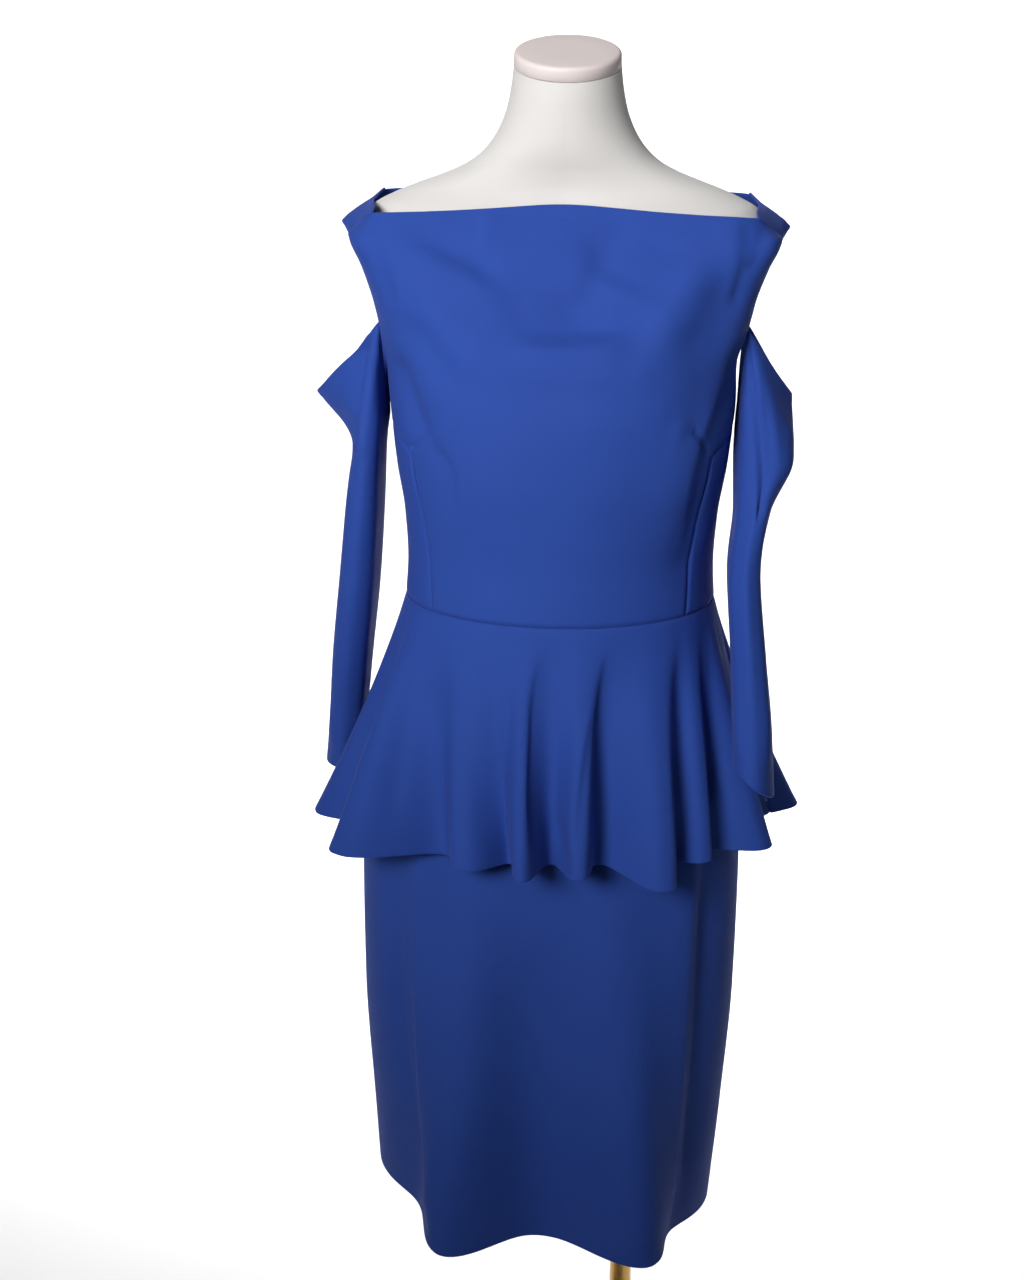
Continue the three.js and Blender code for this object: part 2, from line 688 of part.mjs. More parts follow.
function stand(material) {
  const formBottom = FORM[0].z;
  const socketBottom = formBottom - SEAM - SOCKET_HEIGHT;
  const flangeTop = BASE_HEIGHT + SEAM + FLANGE_HEIGHT;
  const poleBottom = flangeTop + SEAM;
  const base = disc('stand_base', material(), BASE_RADIUS, BASE_HEIGHT, BASE_ROUND, 0);
  const flange = disc('stand_flange', material(), FLANGE_RADIUS, FLANGE_HEIGHT, BASE_ROUND, BASE_HEIGHT + SEAM);
  const pole = disc('stand_pole', material(), POLE_RADIUS, socketBottom - SEAM - poleBottom, 0, poleBottom);
  const socket = disc('stand_socket', material(), SOCKET_RADIUS, SOCKET_HEIGHT, 0, socketBottom);
  for (const mesh of [flange, pole, socket]) mesh.position.x = POLE_X;
  return [base, flange, pole, socket];
}

const linen = () => new THREE.MeshStandardMaterial({ color: 0xe6e4e1, roughness: 0.85, metalness: 0 });
const brass = () => new THREE.MeshStandardMaterial({ color: 0xb98b3e, roughness: 0.3, metalness: 1 });

const dress = new THREE.Group();
dress.add(
  bodiceFront(),
  bodiceSide(-1),
  bodiceSide(1),
  bodiceBack(-1),
  bodiceBack(1),
  sleeve('sleeve_left', SLEEVES.left),
  sleeve('sleeve_right', SLEEVES.right),
  ...halves('peplum', waveColumns, steps(1, 0, PEPLUM_ROWS), peplumPoint, SEAM),
  ...halves('skirt', (a, b) => steps(a, b, SKIRT_COLUMNS), steps(1, 0, SKIRT_ROWS), skirtPoint, HALF_SEAM),
);

const support = new THREE.Group();
support.add(formTorso(linen()), neckCap(linen()), ...stand(brass));

const object = new THREE.Group();
object.add(dress, support);

export default object;
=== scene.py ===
import math

import bpy
import numpy as np
from mathutils import Matrix, Vector


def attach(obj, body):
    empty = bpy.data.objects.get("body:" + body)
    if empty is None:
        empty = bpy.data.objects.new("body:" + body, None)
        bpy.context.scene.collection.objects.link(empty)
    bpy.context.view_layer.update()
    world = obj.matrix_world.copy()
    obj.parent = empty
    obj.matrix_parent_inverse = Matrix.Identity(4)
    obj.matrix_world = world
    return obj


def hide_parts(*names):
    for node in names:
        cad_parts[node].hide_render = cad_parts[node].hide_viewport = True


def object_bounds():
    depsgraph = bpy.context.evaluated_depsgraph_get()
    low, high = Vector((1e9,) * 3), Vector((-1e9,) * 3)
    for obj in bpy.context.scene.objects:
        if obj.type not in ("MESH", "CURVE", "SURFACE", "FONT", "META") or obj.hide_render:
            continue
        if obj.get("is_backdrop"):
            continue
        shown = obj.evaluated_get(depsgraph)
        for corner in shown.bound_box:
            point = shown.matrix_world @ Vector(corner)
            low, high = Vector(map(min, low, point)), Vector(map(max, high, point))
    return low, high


# Off-shoulder dress with a peplum on a limbless dress form and its stand.
# Lengths are in millimetres and angles in degrees until a mesh is written in metres.

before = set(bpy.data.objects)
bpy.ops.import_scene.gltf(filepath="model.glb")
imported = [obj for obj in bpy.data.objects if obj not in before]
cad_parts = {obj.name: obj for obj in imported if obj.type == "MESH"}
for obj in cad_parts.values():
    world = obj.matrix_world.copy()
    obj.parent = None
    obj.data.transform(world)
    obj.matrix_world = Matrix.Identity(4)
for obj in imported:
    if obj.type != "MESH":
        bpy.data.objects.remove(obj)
cad_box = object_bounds()
MM = 0.001

# Camera, matched to the photo's perspective

EYE = Vector((0.040, -2.500, 1.625))
PITCH, YAW, ROLL = 14.9, 1.98, 0.6
FOCAL_PIXELS = 2632
IMAGE_HEIGHT = 1280
SENSOR = 36


def make_camera():
    pitch, yaw, roll = map(math.radians, (PITCH, YAW, ROLL))
    ahead = Vector((-math.sin(yaw) * math.cos(pitch), math.cos(yaw) * math.cos(pitch), -math.sin(pitch)))
    level = Vector((math.cos(yaw), math.sin(yaw), 0))
    upright = level.cross(ahead)
    right = math.cos(roll) * level + math.sin(roll) * upright
    up = math.cos(roll) * upright - math.sin(roll) * level
    data = bpy.data.cameras.new("camera")
    data.sensor_width = SENSOR
    data.lens = FOCAL_PIXELS / IMAGE_HEIGHT * SENSOR
    data.clip_end = 100
    camera = bpy.data.objects.new("camera", data)
    camera.matrix_world = Matrix.Translation(EYE) @ Matrix((right, up, -ahead)).transposed().to_4x4()
    bpy.context.scene.collection.objects.link(camera)
    bpy.context.scene.camera = camera


make_camera()

# Sizes, as in the part's source


def table(names, *rows):
    return dict(zip(names.split(), np.array(rows, float).T))


SEAM = 0.3
HALF_SEAM = SEAM / 2
WAIST_FRONT = 1002.5
WAIST_PRINCESS = 1005
WAIST_SIDE = 1009
WAIST_BACK = 1012
APEX = 1272
NECKLINE_FRONT = 1390
NECKLINE_CORNER = 1379
NECKLINE_BACK = 1397
ARMHOLE_TOP = 1352
PEPLUM_DROP = 222
SKIRT_HEM = 390
STRAP_NECK = (182, 1387)
STRAP_TIP = (212, 1368.5)
STRAP_BULGE = 0.5
STRAP_CURVE = 1.5
STRAP_RISE = 10

BODICE = table(
    "z half front back power",
    (1000, 151, 119, 95, 2.0),
    (1045, 148.5, 118, 95, 2.0),
    (1090, 151, 122, 98, 2.1),
    (1140, 159, 128, 104, 2.2),
    (1190, 164.5, 130, 108, 2.3),
    (1235, 169, 123, 108, 2.5),
    (1272, 175, 111, 106, 2.9),
    (1291, 179, 104, 104, 3.3),
    (1304, 182.5, 99, 102, 3.6),
    (1331, 192, 88, 94, 4.4),
    (1352, 201.5, 79, 84, 5.2),
    (1359, 203, 76, 80, 5.4),
    (1366, 197, 73, 76, 5.6),
    (1379, 186, 67, 69, 6),
    (1398, 180, 61, 60, 6),
)
ARMHOLE = table(
    "z angle",
    (1000, 90), (1187, 90), (1210, 86), (1235, 82), (1272, 79.5), (1304, 82), (1331, 84), (1352, 86),
)
FRONT_ROWS = table(
    "row middle princess edge line",
    (0, WAIST_FRONT, WAIST_PRINCESS, WAIST_SIDE, 60),
    (0.15, 1060, 1060, 1073, 62.5),
    (0.4, 1160, 1160, 1183, 64),
    (0.66, 1276, 1270, APEX, 71),
    (1, NECKLINE_FRONT, NECKLINE_CORNER, ARMHOLE_TOP, 74.5),
)
BACK_ROWS = table(
    "row middle princess edge line",
    (0, WAIST_BACK, 1011, WAIST_SIDE, 66),
    (0.4, 1165, 1168, 1183, 68),
    (0.66, 1280, 1278, APEX, 72),
    (1, NECKLINE_BACK, 1392, ARMHOLE_TOP, 75),
)
PRINCESS_TOP = 0.4
PRINCESS = 0.8
DRAPES = (
    (30, 1360, 12, 1300, -5, 24),
    (-30, 1290, 55, 1280, -4, 26),
    (-75, 1255, 70, 1248, 4, 22),
    (158, 1300, 122, 1200, -7, 20),
    (-160, 1245, -128, 1190, -5, 16),
)
DRAPE_FADE = (30, 25)
SET_IN_GAP = 1
RIM_SHARE = 1.6
SET_IN = table("around z", (0, 1186), (30, 1204), (60, 1238), (90, 1271))
SLEEVES = {
    "left": {
        "side": -1,
        "rim": table("around x y z", (135, 209, -12, 1236), (180, 240, 34, 1198), (225, 214, 46, 1221)),
        "sections": table(
            "z x y half_x half_y",
            (1150, 186, 4, 16, 60),
            (1100, 190, 8, 18, 60),
            (1020, 197, 16, 20, 56),
            (940, 206, 34, 20, 50),
            (870, 213, 56, 19, 44),
            (815, 219, 70, 18, 40),
        ),
        "cuff_slope": 0,
    },
    "right": {
        "side": 1,
        "rim": table("around x y z", (135, 196, -22, 1240), (180, 219, 4, 1208), (225, 202, 30, 1228)),
        "sections": table(
            "z x y half_x half_y",
            (1150, 193, -10, 29, 56),
            (1100, 183, -20, 18, 58),
            (1045, 176, -44, 16, 56),
            (970, 181, -78, 17, 50),
            (910, 185, -106, 19, 44),
            (864, 187, -128, 20, 38),
        ),
        "cuff_slope": -0.7,
    },
}
WAVE_GROWTH = 1.5
WAVE_POWER = 2.8
WAVE_FALL, WAVE_FALL_SIDE = 20, 0.3
PEPLUM_SIDE, PEPLUM_FRONT, PEPLUM_BACK, PEPLUM_POWER = 204, 146, 166, 2.3
WAVES = table(
    "angle rise spread longer",
    (-86, 37, 8, 0),
    (-54, 70, 9, -3),
    (-26, 38, 7.5, 0),
    (-8.5, 54, 4.6, 0),
    (7.5, 46, 5.2, 0),
    (29, 60, 7.4, 10),
    (45, 30, 5, -2),
    (64, 34, 6, 0),
    (99, 40, 8, 0),
    (126, 44, 8, 6),
    (151, 40, 7, 2),
    (176, 46, 8, 5),
    (202, 38, 7, 0),
    (228, 42, 7.5, 4),
)
SKIRT = table(
    "z middle half front back power lobe",
    (375, -6, 168, 139, 142, 2.2, 64),
    (490, -5, 177, 138, 145, 2.4, 40),
    (615, -5, 185.5, 135, 148, 2.5, 19),
    (740, -5, 187.5, 131, 149, 2.5, 5),
    (800, -4, 185, 128, 146, 2.4, 0),
    (870, -2, 176, 124, 134, 2.2, 0),
    (940, 0, 162, 119, 112, 2.1, 0),
    (1009, 0, 151, 119, 95.5, 2.0, 0),
)
LOBES = table("angle spread longer", (-28, 14, 12), (29, 14, 2))
HEM_TILT = 0.107
HEM_RISE = 7
SKIRT_INSET = 3.7
SKIRT_INSET_REACH = 0.2
FORM = table(
    "z half front back",
    (690, 150, 96, 108),
    (740, 161, 102, 122),
    (800, 165, 106, 128),
    (870, 156, 104, 114),
    (940, 137, 97, 92),
    (1010, 121, 92, 80),
    (1045, 119, 93, 79),
    (1100, 128, 101, 86),
    (1160, 142, 114, 94),
    (1200, 149, 118, 98),
    (1250, 150, 108, 99),
    (1300, 157, 88, 94),
    (1335, 171, 72, 82),
    (1358, 183, 61, 68),
    (1373, 187, 54, 58),
    (1383, 183, 48, 50),
    (1389, 174, 44, 45),
    (1394, 162, 41, 41),
    (1401, 148, 40, 40),
    (1409, 125, 41, 41),
    (1417, 104, 43, 44),
    (1427, 86, 46, 48),
    (1440, 73, 48.5, 51),
    (1455, 63.5, 49.5, 53),
    (1475, 56, 50, 52.5),
    (1494, 52.3, 50, 51),
    (1513, 50, 48, 48),
)
NECK_START = 1420
NECK_TILT = 16
NECK_LEAN = 8
NECK_TILT_POWER = 1.5
CAP_RADIUS, CAP_HEIGHT, CAP_ROUND = 50, 14, 4
POLE_X = 74
POLE_RADIUS, POLE_ROUND = 11, 0.6
SOCKET_RADIUS, SOCKET_HEIGHT, SOCKET_ROUND = 24, 14, 1.2
FLANGE_RADIUS, FLANGE_HEIGHT, FLANGE_ROUND = 26, 12, 2
BASE_RADIUS, BASE_HEIGHT, BASE_ROUND = 190, 8, 2

# The cloth: its thickness, the dips at its seams, and its edges' bulge as a share of thickness and half seam

CLOTH = 1.3
SEAM_DIP, SEAM_REACH = 1.7, 2.0
PEPLUM_DIP = 0.9
UNDERARM_DIP, UNDERARM_SHARP = 0.8, 2
EDGE_ROUND, SEAM_ROOM = 0.45, 0.8

# Curves and surfaces


def smooth_curve(at, value, x):
    """A smooth curve through value[i] at at[i], without overshoot; value[i] is a number or has x's shape."""
    at, value, x = (np.asarray(a, float) for a in (at, value, x))
    step = np.diff(value, axis=0) / np.diff(at).reshape(-1, *[1] * (value.ndim - 1))
    before = np.concatenate([step[:1], step])
    after = np.concatenate([step, step[-1:]])
    same = before * after > 0
    slope = np.where(same, 2 * before * after / np.where(same, before + after, 1), 0)
    x = np.clip(x, at[0], at[-1])
    i = np.clip(np.searchsorted(at, x, side="right") - 1, 0, len(at) - 2)
    span = at[i + 1] - at[i]
    t = (x - at[i]) / span

    def pick(a, k):
        return a[k] if a.ndim == 1 else np.take_along_axis(a, k[None], 0)[0]

    h = t * t * (3 - 2 * t)
    ends = pick(slope, i) * (1 - t) + pick(slope, i + 1) * -t
    return pick(value, i) * (1 - h) + pick(value, i + 1) * h + ends * span * t * (1 - t)


def read(rows, key, name, x):
    return smooth_curve(rows[key], rows[name], x)


def sizes_at(rows, z, names):
    return {name: read(rows, "z", name, z) for name in names.split()}


def mix(a, b, share):
    return a + (b - a) * share


def smoothstep(low, high, x):
    t = np.clip((x - low) / (high - low), 0, 1)
    return t * t * (3 - 2 * t)


def bell(distance, spread, power=2):
    return np.exp(-np.abs(distance / spread) ** power)


def section_radius(degrees, half, depth, power):
    a = np.radians(degrees)
    return (np.abs(np.sin(a) / half) ** power + np.abs(np.cos(a) / depth) ** power) ** (-1 / power)


def angle_between(a, b):
    return (a - b + 540) % 360 - 180


def drape(x, z):
    out = 0
    for x0, z0, x1, z1, depth, width in DRAPES:
        length = math.hypot(x1 - x0, z1 - z0)
        along = ((x - x0) * (x1 - x0) + (z - z0) * (z1 - z0)) / length
        aside = ((x - x0) * (z1 - z0) - (z - z0) * (x1 - x0)) / length
        past = along - np.clip(along, 0, length)
        out = out + depth * bell(np.hypot(aside, past), width)
    return out


def on_bodice(face, side, degrees, z):
    size = sizes_at(BODICE, z, "half front back power")
    r = section_radius(degrees, size["half"], size[face], size["power"])
    x = side * r * np.sin(np.radians(degrees))
    ahead = r * np.cos(np.radians(degrees))
    if face == "back":
        return np.stack([x, ahead, z], -1)
    from_side = np.clip((90 - degrees) / DRAPE_FADE[0], 0, 1)
    from_neckline = np.clip((NECKLINE_CORNER - z) / DRAPE_FADE[1], 0, 1)
    return np.stack([x, -ahead - drape(x, z) * from_side * from_neckline, z], -1)


def armhole_angle(z):
    return read(ARMHOLE, "z", "angle", z) - np.degrees(HALF_SEAM / read(BODICE, "z", "half", z))


def bodice_surface(face, side=None):
    """across runs from 0 at the middle to 1 at the side, and row from 0 at the waist to 1 at the neckline,
    then on to 2 at the shoulder seam of the strap."""
    rows = FRONT_ROWS if face == "front" else BACK_ROWS

    def surface(across, row):
        flip = np.where(across < 0, -1, 1) if side is None else side
        across = np.abs(across)
        row = np.where(across < PRINCESS - 0.01, np.minimum(row, 1), row)
        r = np.minimum(row, 1)
        line = read(rows, "row", "line", r)
        inner = np.minimum(across / PRINCESS, 1)
        outer = np.maximum((across - PRINCESS) / (1 - PRINCESS), 0)
        middle = mix(read(rows, "row", "middle", r), read(rows, "row", "princess", r), inner ** 2)
        z = mix(middle, read(rows, "row", "edge", r), outer)
        edge = armhole_angle(z)
        start = on_bodice(face, flip, mix(line * inner, edge, outer), z)
        below = on_bodice(face, flip, mix(line, edge, outer), z - STRAP_RISE)
        away = -HALF_SEAM if face == "front" else HALF_SEAM
        ridge = np.stack([
            flip * mix(STRAP_NECK[0], STRAP_TIP[0], outer),
            np.full_like(z, away),
            mix(STRAP_NECK[1], STRAP_TIP[1], outer ** STRAP_CURVE),
        ], -1)
        reach = np.linalg.norm(ridge - start, axis=-1)[..., None] * STRAP_BULGE
        rise = start - below
        rise = rise / np.maximum(np.linalg.norm(rise, axis=-1), 1e-9)[..., None] * reach
        over = np.array([0, 1 if face == "front" else -1, 0]) * reach
        t = np.maximum(row - 1, 0)[..., None]
        h = t * t * (3 - 2 * t)
        return mix(start, ridge, h) + rise * t * (1 - t) ** 2 + over * t * t * (t - 1)

    return surface


def sleeve_surface(side, rim, sections, cuff_slope):
    z = SET_IN["z"]
    edges = {face: on_bodice(face, 1, read(ARMHOLE, "z", "angle", z), z) for face in ("front", "back")}
    front = [[a, x + SET_IN_GAP, y, h] for a, (x, y, h) in zip(SET_IN["around"], edges["front"])]
    back = [[360 - a, x + SET_IN_GAP, y, h] for a, (x, y, h) in zip(SET_IN["around"], edges["back"])]
    outside = np.stack([rim[k] for k in ("around", "x", "y", "z")], -1).tolist()
    ring = np.array(front + outside + back[::-1])
    count = len(sections["z"])
    at = np.array([0, *(RIM_SHARE + i for i in range(count))]) / (RIM_SHARE + count - 1)

    def surface(around, t):
        around = around % 360
        c, s = np.cos(np.radians(around)), np.sin(np.radians(around))
        path = []
        for k, middle in enumerate(("x", "y", "z")):
            stations = [smooth_curve(ring[:, 0], ring[:, k + 1], around)]
            for i, m in enumerate(sections[middle]):
                slope = cuff_slope if i == count - 1 else 0
                half = {
                    "x": sections["half_x"][i] * c,
                    "y": sections["half_y"][i] * s,
                    "z": slope * sections["half_x"][i] * c,
                }
                stations.append(m - half[middle])
            path.append(smooth_curve(at, np.array(stations), t))
        return np.stack([side * path[0], path[1], path[2]], -1)

    return surface


def face_depth(degrees, front, back):
    return np.where(np.cos(np.radians(degrees)) > 0, front, back)


def waist_height(degrees):
    away = np.abs(angle_between(degrees, 0))
    ahead = away < 90
    from_middle = np.minimum(away, 180 - away)

    def first(name):
        return np.where(ahead, FRONT_ROWS[name][0], BACK_ROWS[name][0])

    line = first("line")
    inner = mix(first("middle"), first("princess"), (from_middle / line) ** 2)
    outer = mix(first("princess"), first("edge"), (from_middle - line) / (90 - line))
    return np.where(from_middle < line, inner, outer)


def polar(degrees, r, z, middle=0):
    a = np.radians(degrees)
    return np.stack([middle + r * np.sin(a), -r * np.cos(a), z], -1)


def peplum_surface(degrees, t):
    depth = face_depth(degrees, PEPLUM_FRONT, PEPLUM_BACK)
    hem = section_radius(degrees, PEPLUM_SIDE, depth, PEPLUM_POWER)
    size = sizes_at(BODICE, WAIST_SIDE, "half front back power")
    side = np.abs(np.cos(np.radians(degrees))) ** WAVE_FALL_SIDE
    start = degrees + WAVE_FALL * np.sin(np.radians(2 * degrees)) * side
    waist = section_radius(start, size["half"], face_depth(start, size["front"], size["back"]), size["power"])
    r = mix(waist, hem, t)
    drop = PEPLUM_DROP
    for angle, rise, spread, longer in zip(*WAVES.values()):
        share = bell(angle_between(degrees, angle), spread, WAVE_POWER)
        r = r + rise * share * np.maximum(t, 0) ** WAVE_GROWTH
        drop = drop + longer * share
    return polar(mix(start, degrees, t), r, waist_height(start) - SEAM - drop * t)


def skirt_surface(degrees, t):
    side = np.sin(np.radians(degrees))
    lobes = [bell(angle_between(degrees, a), s) for a, s in zip(LOBES["angle"], LOBES["spread"])]
    dip = sum(longer * lobe for longer, lobe in zip(LOBES["longer"], lobes))
    hem = SKIRT_HEM + HEM_RISE * side ** 2 - HEM_TILT * side * read(SKIRT, "z", "half", SKIRT_HEM) - dip
    z = mix(waist_height(degrees) - 2 * SEAM, hem, t)
    size = sizes_at(SKIRT, z, "middle half front back power lobe")
    inset = SKIRT_INSET * np.clip(1 - t / SKIRT_INSET_REACH, 0, 1)
    depth = face_depth(degrees, size["front"], size["back"])
    r = section_radius(degrees, size["half"], depth, size["power"]) - inset
    r = r + size["lobe"] * sum(lobes)
    return polar(degrees, r, z, size["middle"])


# Creases

CREASE_STEPS = 8


class Crease:
    """A soft trough (minus) or ridge (plus) along a smooth line, with its own width on each side."""

    def __init__(self, depth, widths, *points, fade=0.35):
        points = np.array(points, float)
        length = np.concatenate([[0], np.cumsum(np.linalg.norm(np.diff(points, axis=0), axis=1))])
        at = np.linspace(0, length[-1], CREASE_STEPS * (len(points) - 1) + 1)
        self.line = np.stack([smooth_curve(length, points[:, k], at) for k in (0, 1)], -1)
        self.depth = depth
        self.widths = widths if isinstance(widths, tuple) else (widths, widths)
        self.fade = fade

    def at(self, p, q):
        """How far the crease moves each point. The first width is on the left of the line, seen along it."""
        closest = np.full(p.shape, np.inf)
        signed, share = np.zeros(p.shape), np.zeros(p.shape)
        count = len(self.line) - 1
        for k, (a, b) in enumerate(zip(self.line[:-1], self.line[1:])):
            d = b - a
            length2 = d @ d
            f = np.clip(((p - a[0]) * d[0] + (q - a[1]) * d[1]) / length2, 0, 1)
            away = np.hypot(p - a[0] - f * d[0], q - a[1] - f * d[1])
            left = (d[0] * (q - a[1]) - d[1] * (p - a[0])) > 0
            closer = away < closest
            closest = np.where(closer, away, closest)
            signed = np.where(closer, np.where(left, -away, away), signed)
            share = np.where(closer, (k + f) / count, share)
        width = np.where(signed < 0, self.widths[0], self.widths[1])
        ends = smoothstep(0, self.fade, share) * smoothstep(0, self.fade, 1 - share)
        return self.depth * bell(signed, width) * ends


def creased(p, q, creases):
    return sum((c.at(p, q) for c in creases), np.zeros(p.shape))


# Meshes

FINE_STEPS = (0.12, 0.3, 0.6)
SHARP_ANGLE = 50


class Grid:
    """A cloth's points p and normals n on columns u and rows v, and the lengths s and t along both."""

    def __init__(self, cols, rows, surface, near):
        self.cols, self.rows = np.array(cols, float), np.array(rows, float)
        self.u, self.v = np.meshgrid(self.cols, self.rows)
        self.p = surface(self.u, self.v)
        along = surface(self.u + near[0], self.v) - surface(self.u - near[0], self.v)
        up = surface(self.u, self.v + near[1]) - surface(self.u, self.v - near[1])
        n = np.cross(along, up) * np.sign((cols[1] - cols[0]) * (rows[1] - rows[0]))
        self.n = n / np.maximum(np.linalg.norm(n, axis=-1), 1e-9)[..., None]
        self.s = np.zeros(self.u.shape)
        self.s[:, 1:] = np.cumsum(np.linalg.norm(np.diff(self.p, axis=1), axis=-1), axis=1)
        self.t = np.zeros(self.u.shape)
        self.t[1:] = np.cumsum(np.linalg.norm(np.diff(self.p, axis=0), axis=-1), axis=0)

    def from_cols(self, *values):
        """Each point's distance from the nearest of these columns."""
        nearby = [np.argmin(np.abs(self.cols - value)) for value in values]
        return nearest(*(np.abs(self.s - self.s[:, j:j + 1]) for j in nearby))

    def from_row(self, value):
        i = np.argmin(np.abs(self.rows - value))
        return np.abs(self.t - self.t[i:i + 1])


def spaced(start, end, count):
    """Equal steps, with finer ones at both ends."""
    inner = [f / count for f in FINE_STEPS]
    shares = [0, *inner, *(k / count for k in range(1, count)), *(1 - f for f in reversed(inner)), 1]
    return [mix(start, end, s) for s in shares]


def nearest(*distances):
    return np.minimum.reduce(distances)


def where(condition, distance):
    """The distance where the condition holds, and endless elsewhere."""
    return np.where(condition, distance, np.inf)


def shell(name, grid, relief, thick, sewn=np.inf, keep=None, around=False):
    """A closed thin shell on the grid, its outside moved by relief. Its edges are rounded, but stay within
    half a seam's gap where they are sewn. sewn is each point's distance from such an edge, keep picks the
    quads, and around joins the last column to the first."""
    height, width = grid.u.shape
    i = np.arange(width if around else width - 1)
    j = np.arange(height - 1)
    ii, jj = (a.ravel() for a in np.meshgrid(i, j))
    if keep is not None:
        kept = keep(grid, ii, jj)
        ii, jj = ii[kept], jj[kept]
    after = (ii + 1) % width
    low, high = jj * width, (jj + 1) * width
    quads = np.stack([low + ii, low + after, high + after, high + ii], -1)
    used, quads = np.unique(quads, return_inverse=True)
    quads = quads.reshape(-1, 4)
    n = grid.n.reshape(-1, 3)[used]
    outer = grid.p.reshape(-1, 3)[used] + n * relief.ravel()[used][:, None]
    deep = np.broadcast_to(thick, grid.u.shape).ravel()[used][:, None]
    inner = outer - n * deep
    count = len(used)

    ends = np.stack([quads, np.roll(quads, -1, axis=1)], -1).reshape(-1, 2)
    key = ends[:, 0] * count + ends[:, 1]
    open_edge = ~np.isin(key, ends[:, 1] * count + ends[:, 0])
    a, b = ends[open_edge].T
    out = np.cross(outer[b] - outer[a], n[a])
    out /= np.maximum(np.linalg.norm(out, axis=-1), 1e-9)[:, None]
    push = np.zeros((count, 3))
    np.add.at(push, a, out)
    np.add.at(push, b, out)
    rim, place = np.unique(np.concatenate([a, b]), return_inverse=True)
    push = push[rim] / np.maximum(np.linalg.norm(push[rim], axis=-1), 1e-9)[:, None]
    room = np.broadcast_to(sewn, grid.u.shape).ravel()[used][:, None] + HALF_SEAM * SEAM_ROOM
    middle = (outer[rim] + inner[rim]) / 2 + push * np.minimum(deep * EDGE_ROUND, room)[rim]
    ma, mb = place[:len(a)] + 2 * count, place[len(a):] + 2 * count
    faces = np.concatenate([
        quads,
        quads[:, ::-1] + count,
        np.stack([b, a, ma, mb], -1),
        np.stack([mb, ma, a + count, b + count], -1),
    ])
    points = np.concatenate([outer, inner, middle])
    uv = np.stack([grid.s - grid.s[:, width // 2:width // 2 + 1], grid.t], -1).reshape(-1, 2)[used]
    uv = np.concatenate([uv, uv, uv[rim]])
    return mesh_object(name, points, [faces], uv)


def mesh_object(name, points, faces, uv=None):
    data = bpy.data.meshes.new(name)
    data.vertices.add(len(points))
    data.vertices.foreach_set("co", (points * MM).astype(np.float32).ravel())
    sizes = np.concatenate([np.full(len(f), f.shape[1]) for f in faces])
    corners = np.concatenate([f.ravel() for f in faces])
    data.loops.add(len(corners))
    data.loops.foreach_set("vertex_index", corners.astype(np.int32))
    data.polygons.add(len(sizes))
    data.polygons.foreach_set("loop_start", np.concatenate([[0], np.cumsum(sizes)[:-1]]).astype(np.int32))
    data.polygons.foreach_set("loop_total", sizes.astype(np.int32))
    if uv is not None:
        layer = data.uv_layers.new(name="cloth")
        layer.uv.foreach_set("vector", (uv[corners] * MM).astype(np.float32).ravel())
    data.update()
    data.validate()
    data.polygons.foreach_set("use_smooth", np.ones(len(data.polygons), bool))
    data.set_sharp_from_angle(angle=math.radians(SHARP_ANGLE))
    obj = bpy.data.objects.new(name, data)
    bpy.context.scene.collection.objects.link(obj)
    return obj


def finished(obj, node, material):
    obj.data.materials.append(material)
    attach(obj, "root")
    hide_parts(node)


# Materials


class Nodes:
    """Short names for making a material's nodes."""

    def __init__(self, name):
        self.material = bpy.data.materials.new(name)
        self.material.use_nodes = True
        self.tree = self.material.node_tree
        self.shader = self.tree.nodes["Principled BSDF"]

    def new(self, kind, inputs=None, **settings):
        node = self.tree.nodes.new(kind)
        for key, value in settings.items():
            setattr(node, key, value)
        for key, value in (inputs or {}).items():
            self.set(node.inputs[key], value)
        return node

    def set(self, socket, value):
        if isinstance(value, bpy.types.NodeSocket):
            self.tree.links.new(value, socket)
        else:
            socket.default_value = value

    def noise(self, vector, scale, detail=2.0, rough=0.5):
        inputs = {"Vector": vector, "Scale": scale, "Detail": detail, "Roughness": rough}
        return self.new("ShaderNodeTexNoise", inputs).outputs["Fac"]

    def math(self, operation, a, b=0.0):
        return self.new("ShaderNodeMath", {0: a, 1: b}, operation=operation).outputs[0]

    def span(self, value, low, high):
        node = self.new("ShaderNodeMapRange", {"Value": value, "To Min": low, "To Max": high})
        return node.outputs["Result"]

    def bands(self, vector, scale, direction, distortion=0.0):
        inputs = {"Vector": vector, "Scale": scale, "Distortion": distortion, "Detail": 1.0}
        node = self.new("ShaderNodeTexWave", inputs, bands_direction=direction)
        return node.outputs["Fac"]

    def colour(self, base, *changes):
        """base, brightened and darkened by the product of the changes."""
        product = changes[0]
        for change in changes[1:]:
            product = self.math("MULTIPLY", product, change)
        node = self.new("ShaderNodeVectorMath", operation="SCALE")
        node.inputs[0].default_value = base
        self.set(node.inputs["Scale"], product)
        return node.outputs["Vector"]

    def bump(self, height, distance, strength, normal=None):
        inputs = {"Height": height, "Distance": distance, "Strength": strength}
        if normal is not None:
            inputs["Normal"] = normal
        return self.new("ShaderNodeBump", inputs).outputs["Normal"]

    def finish(self, **sockets):
        for key, value in sockets.items():
            self.set(self.shader.inputs[key.replace("_", " ")], value)
        return self.material


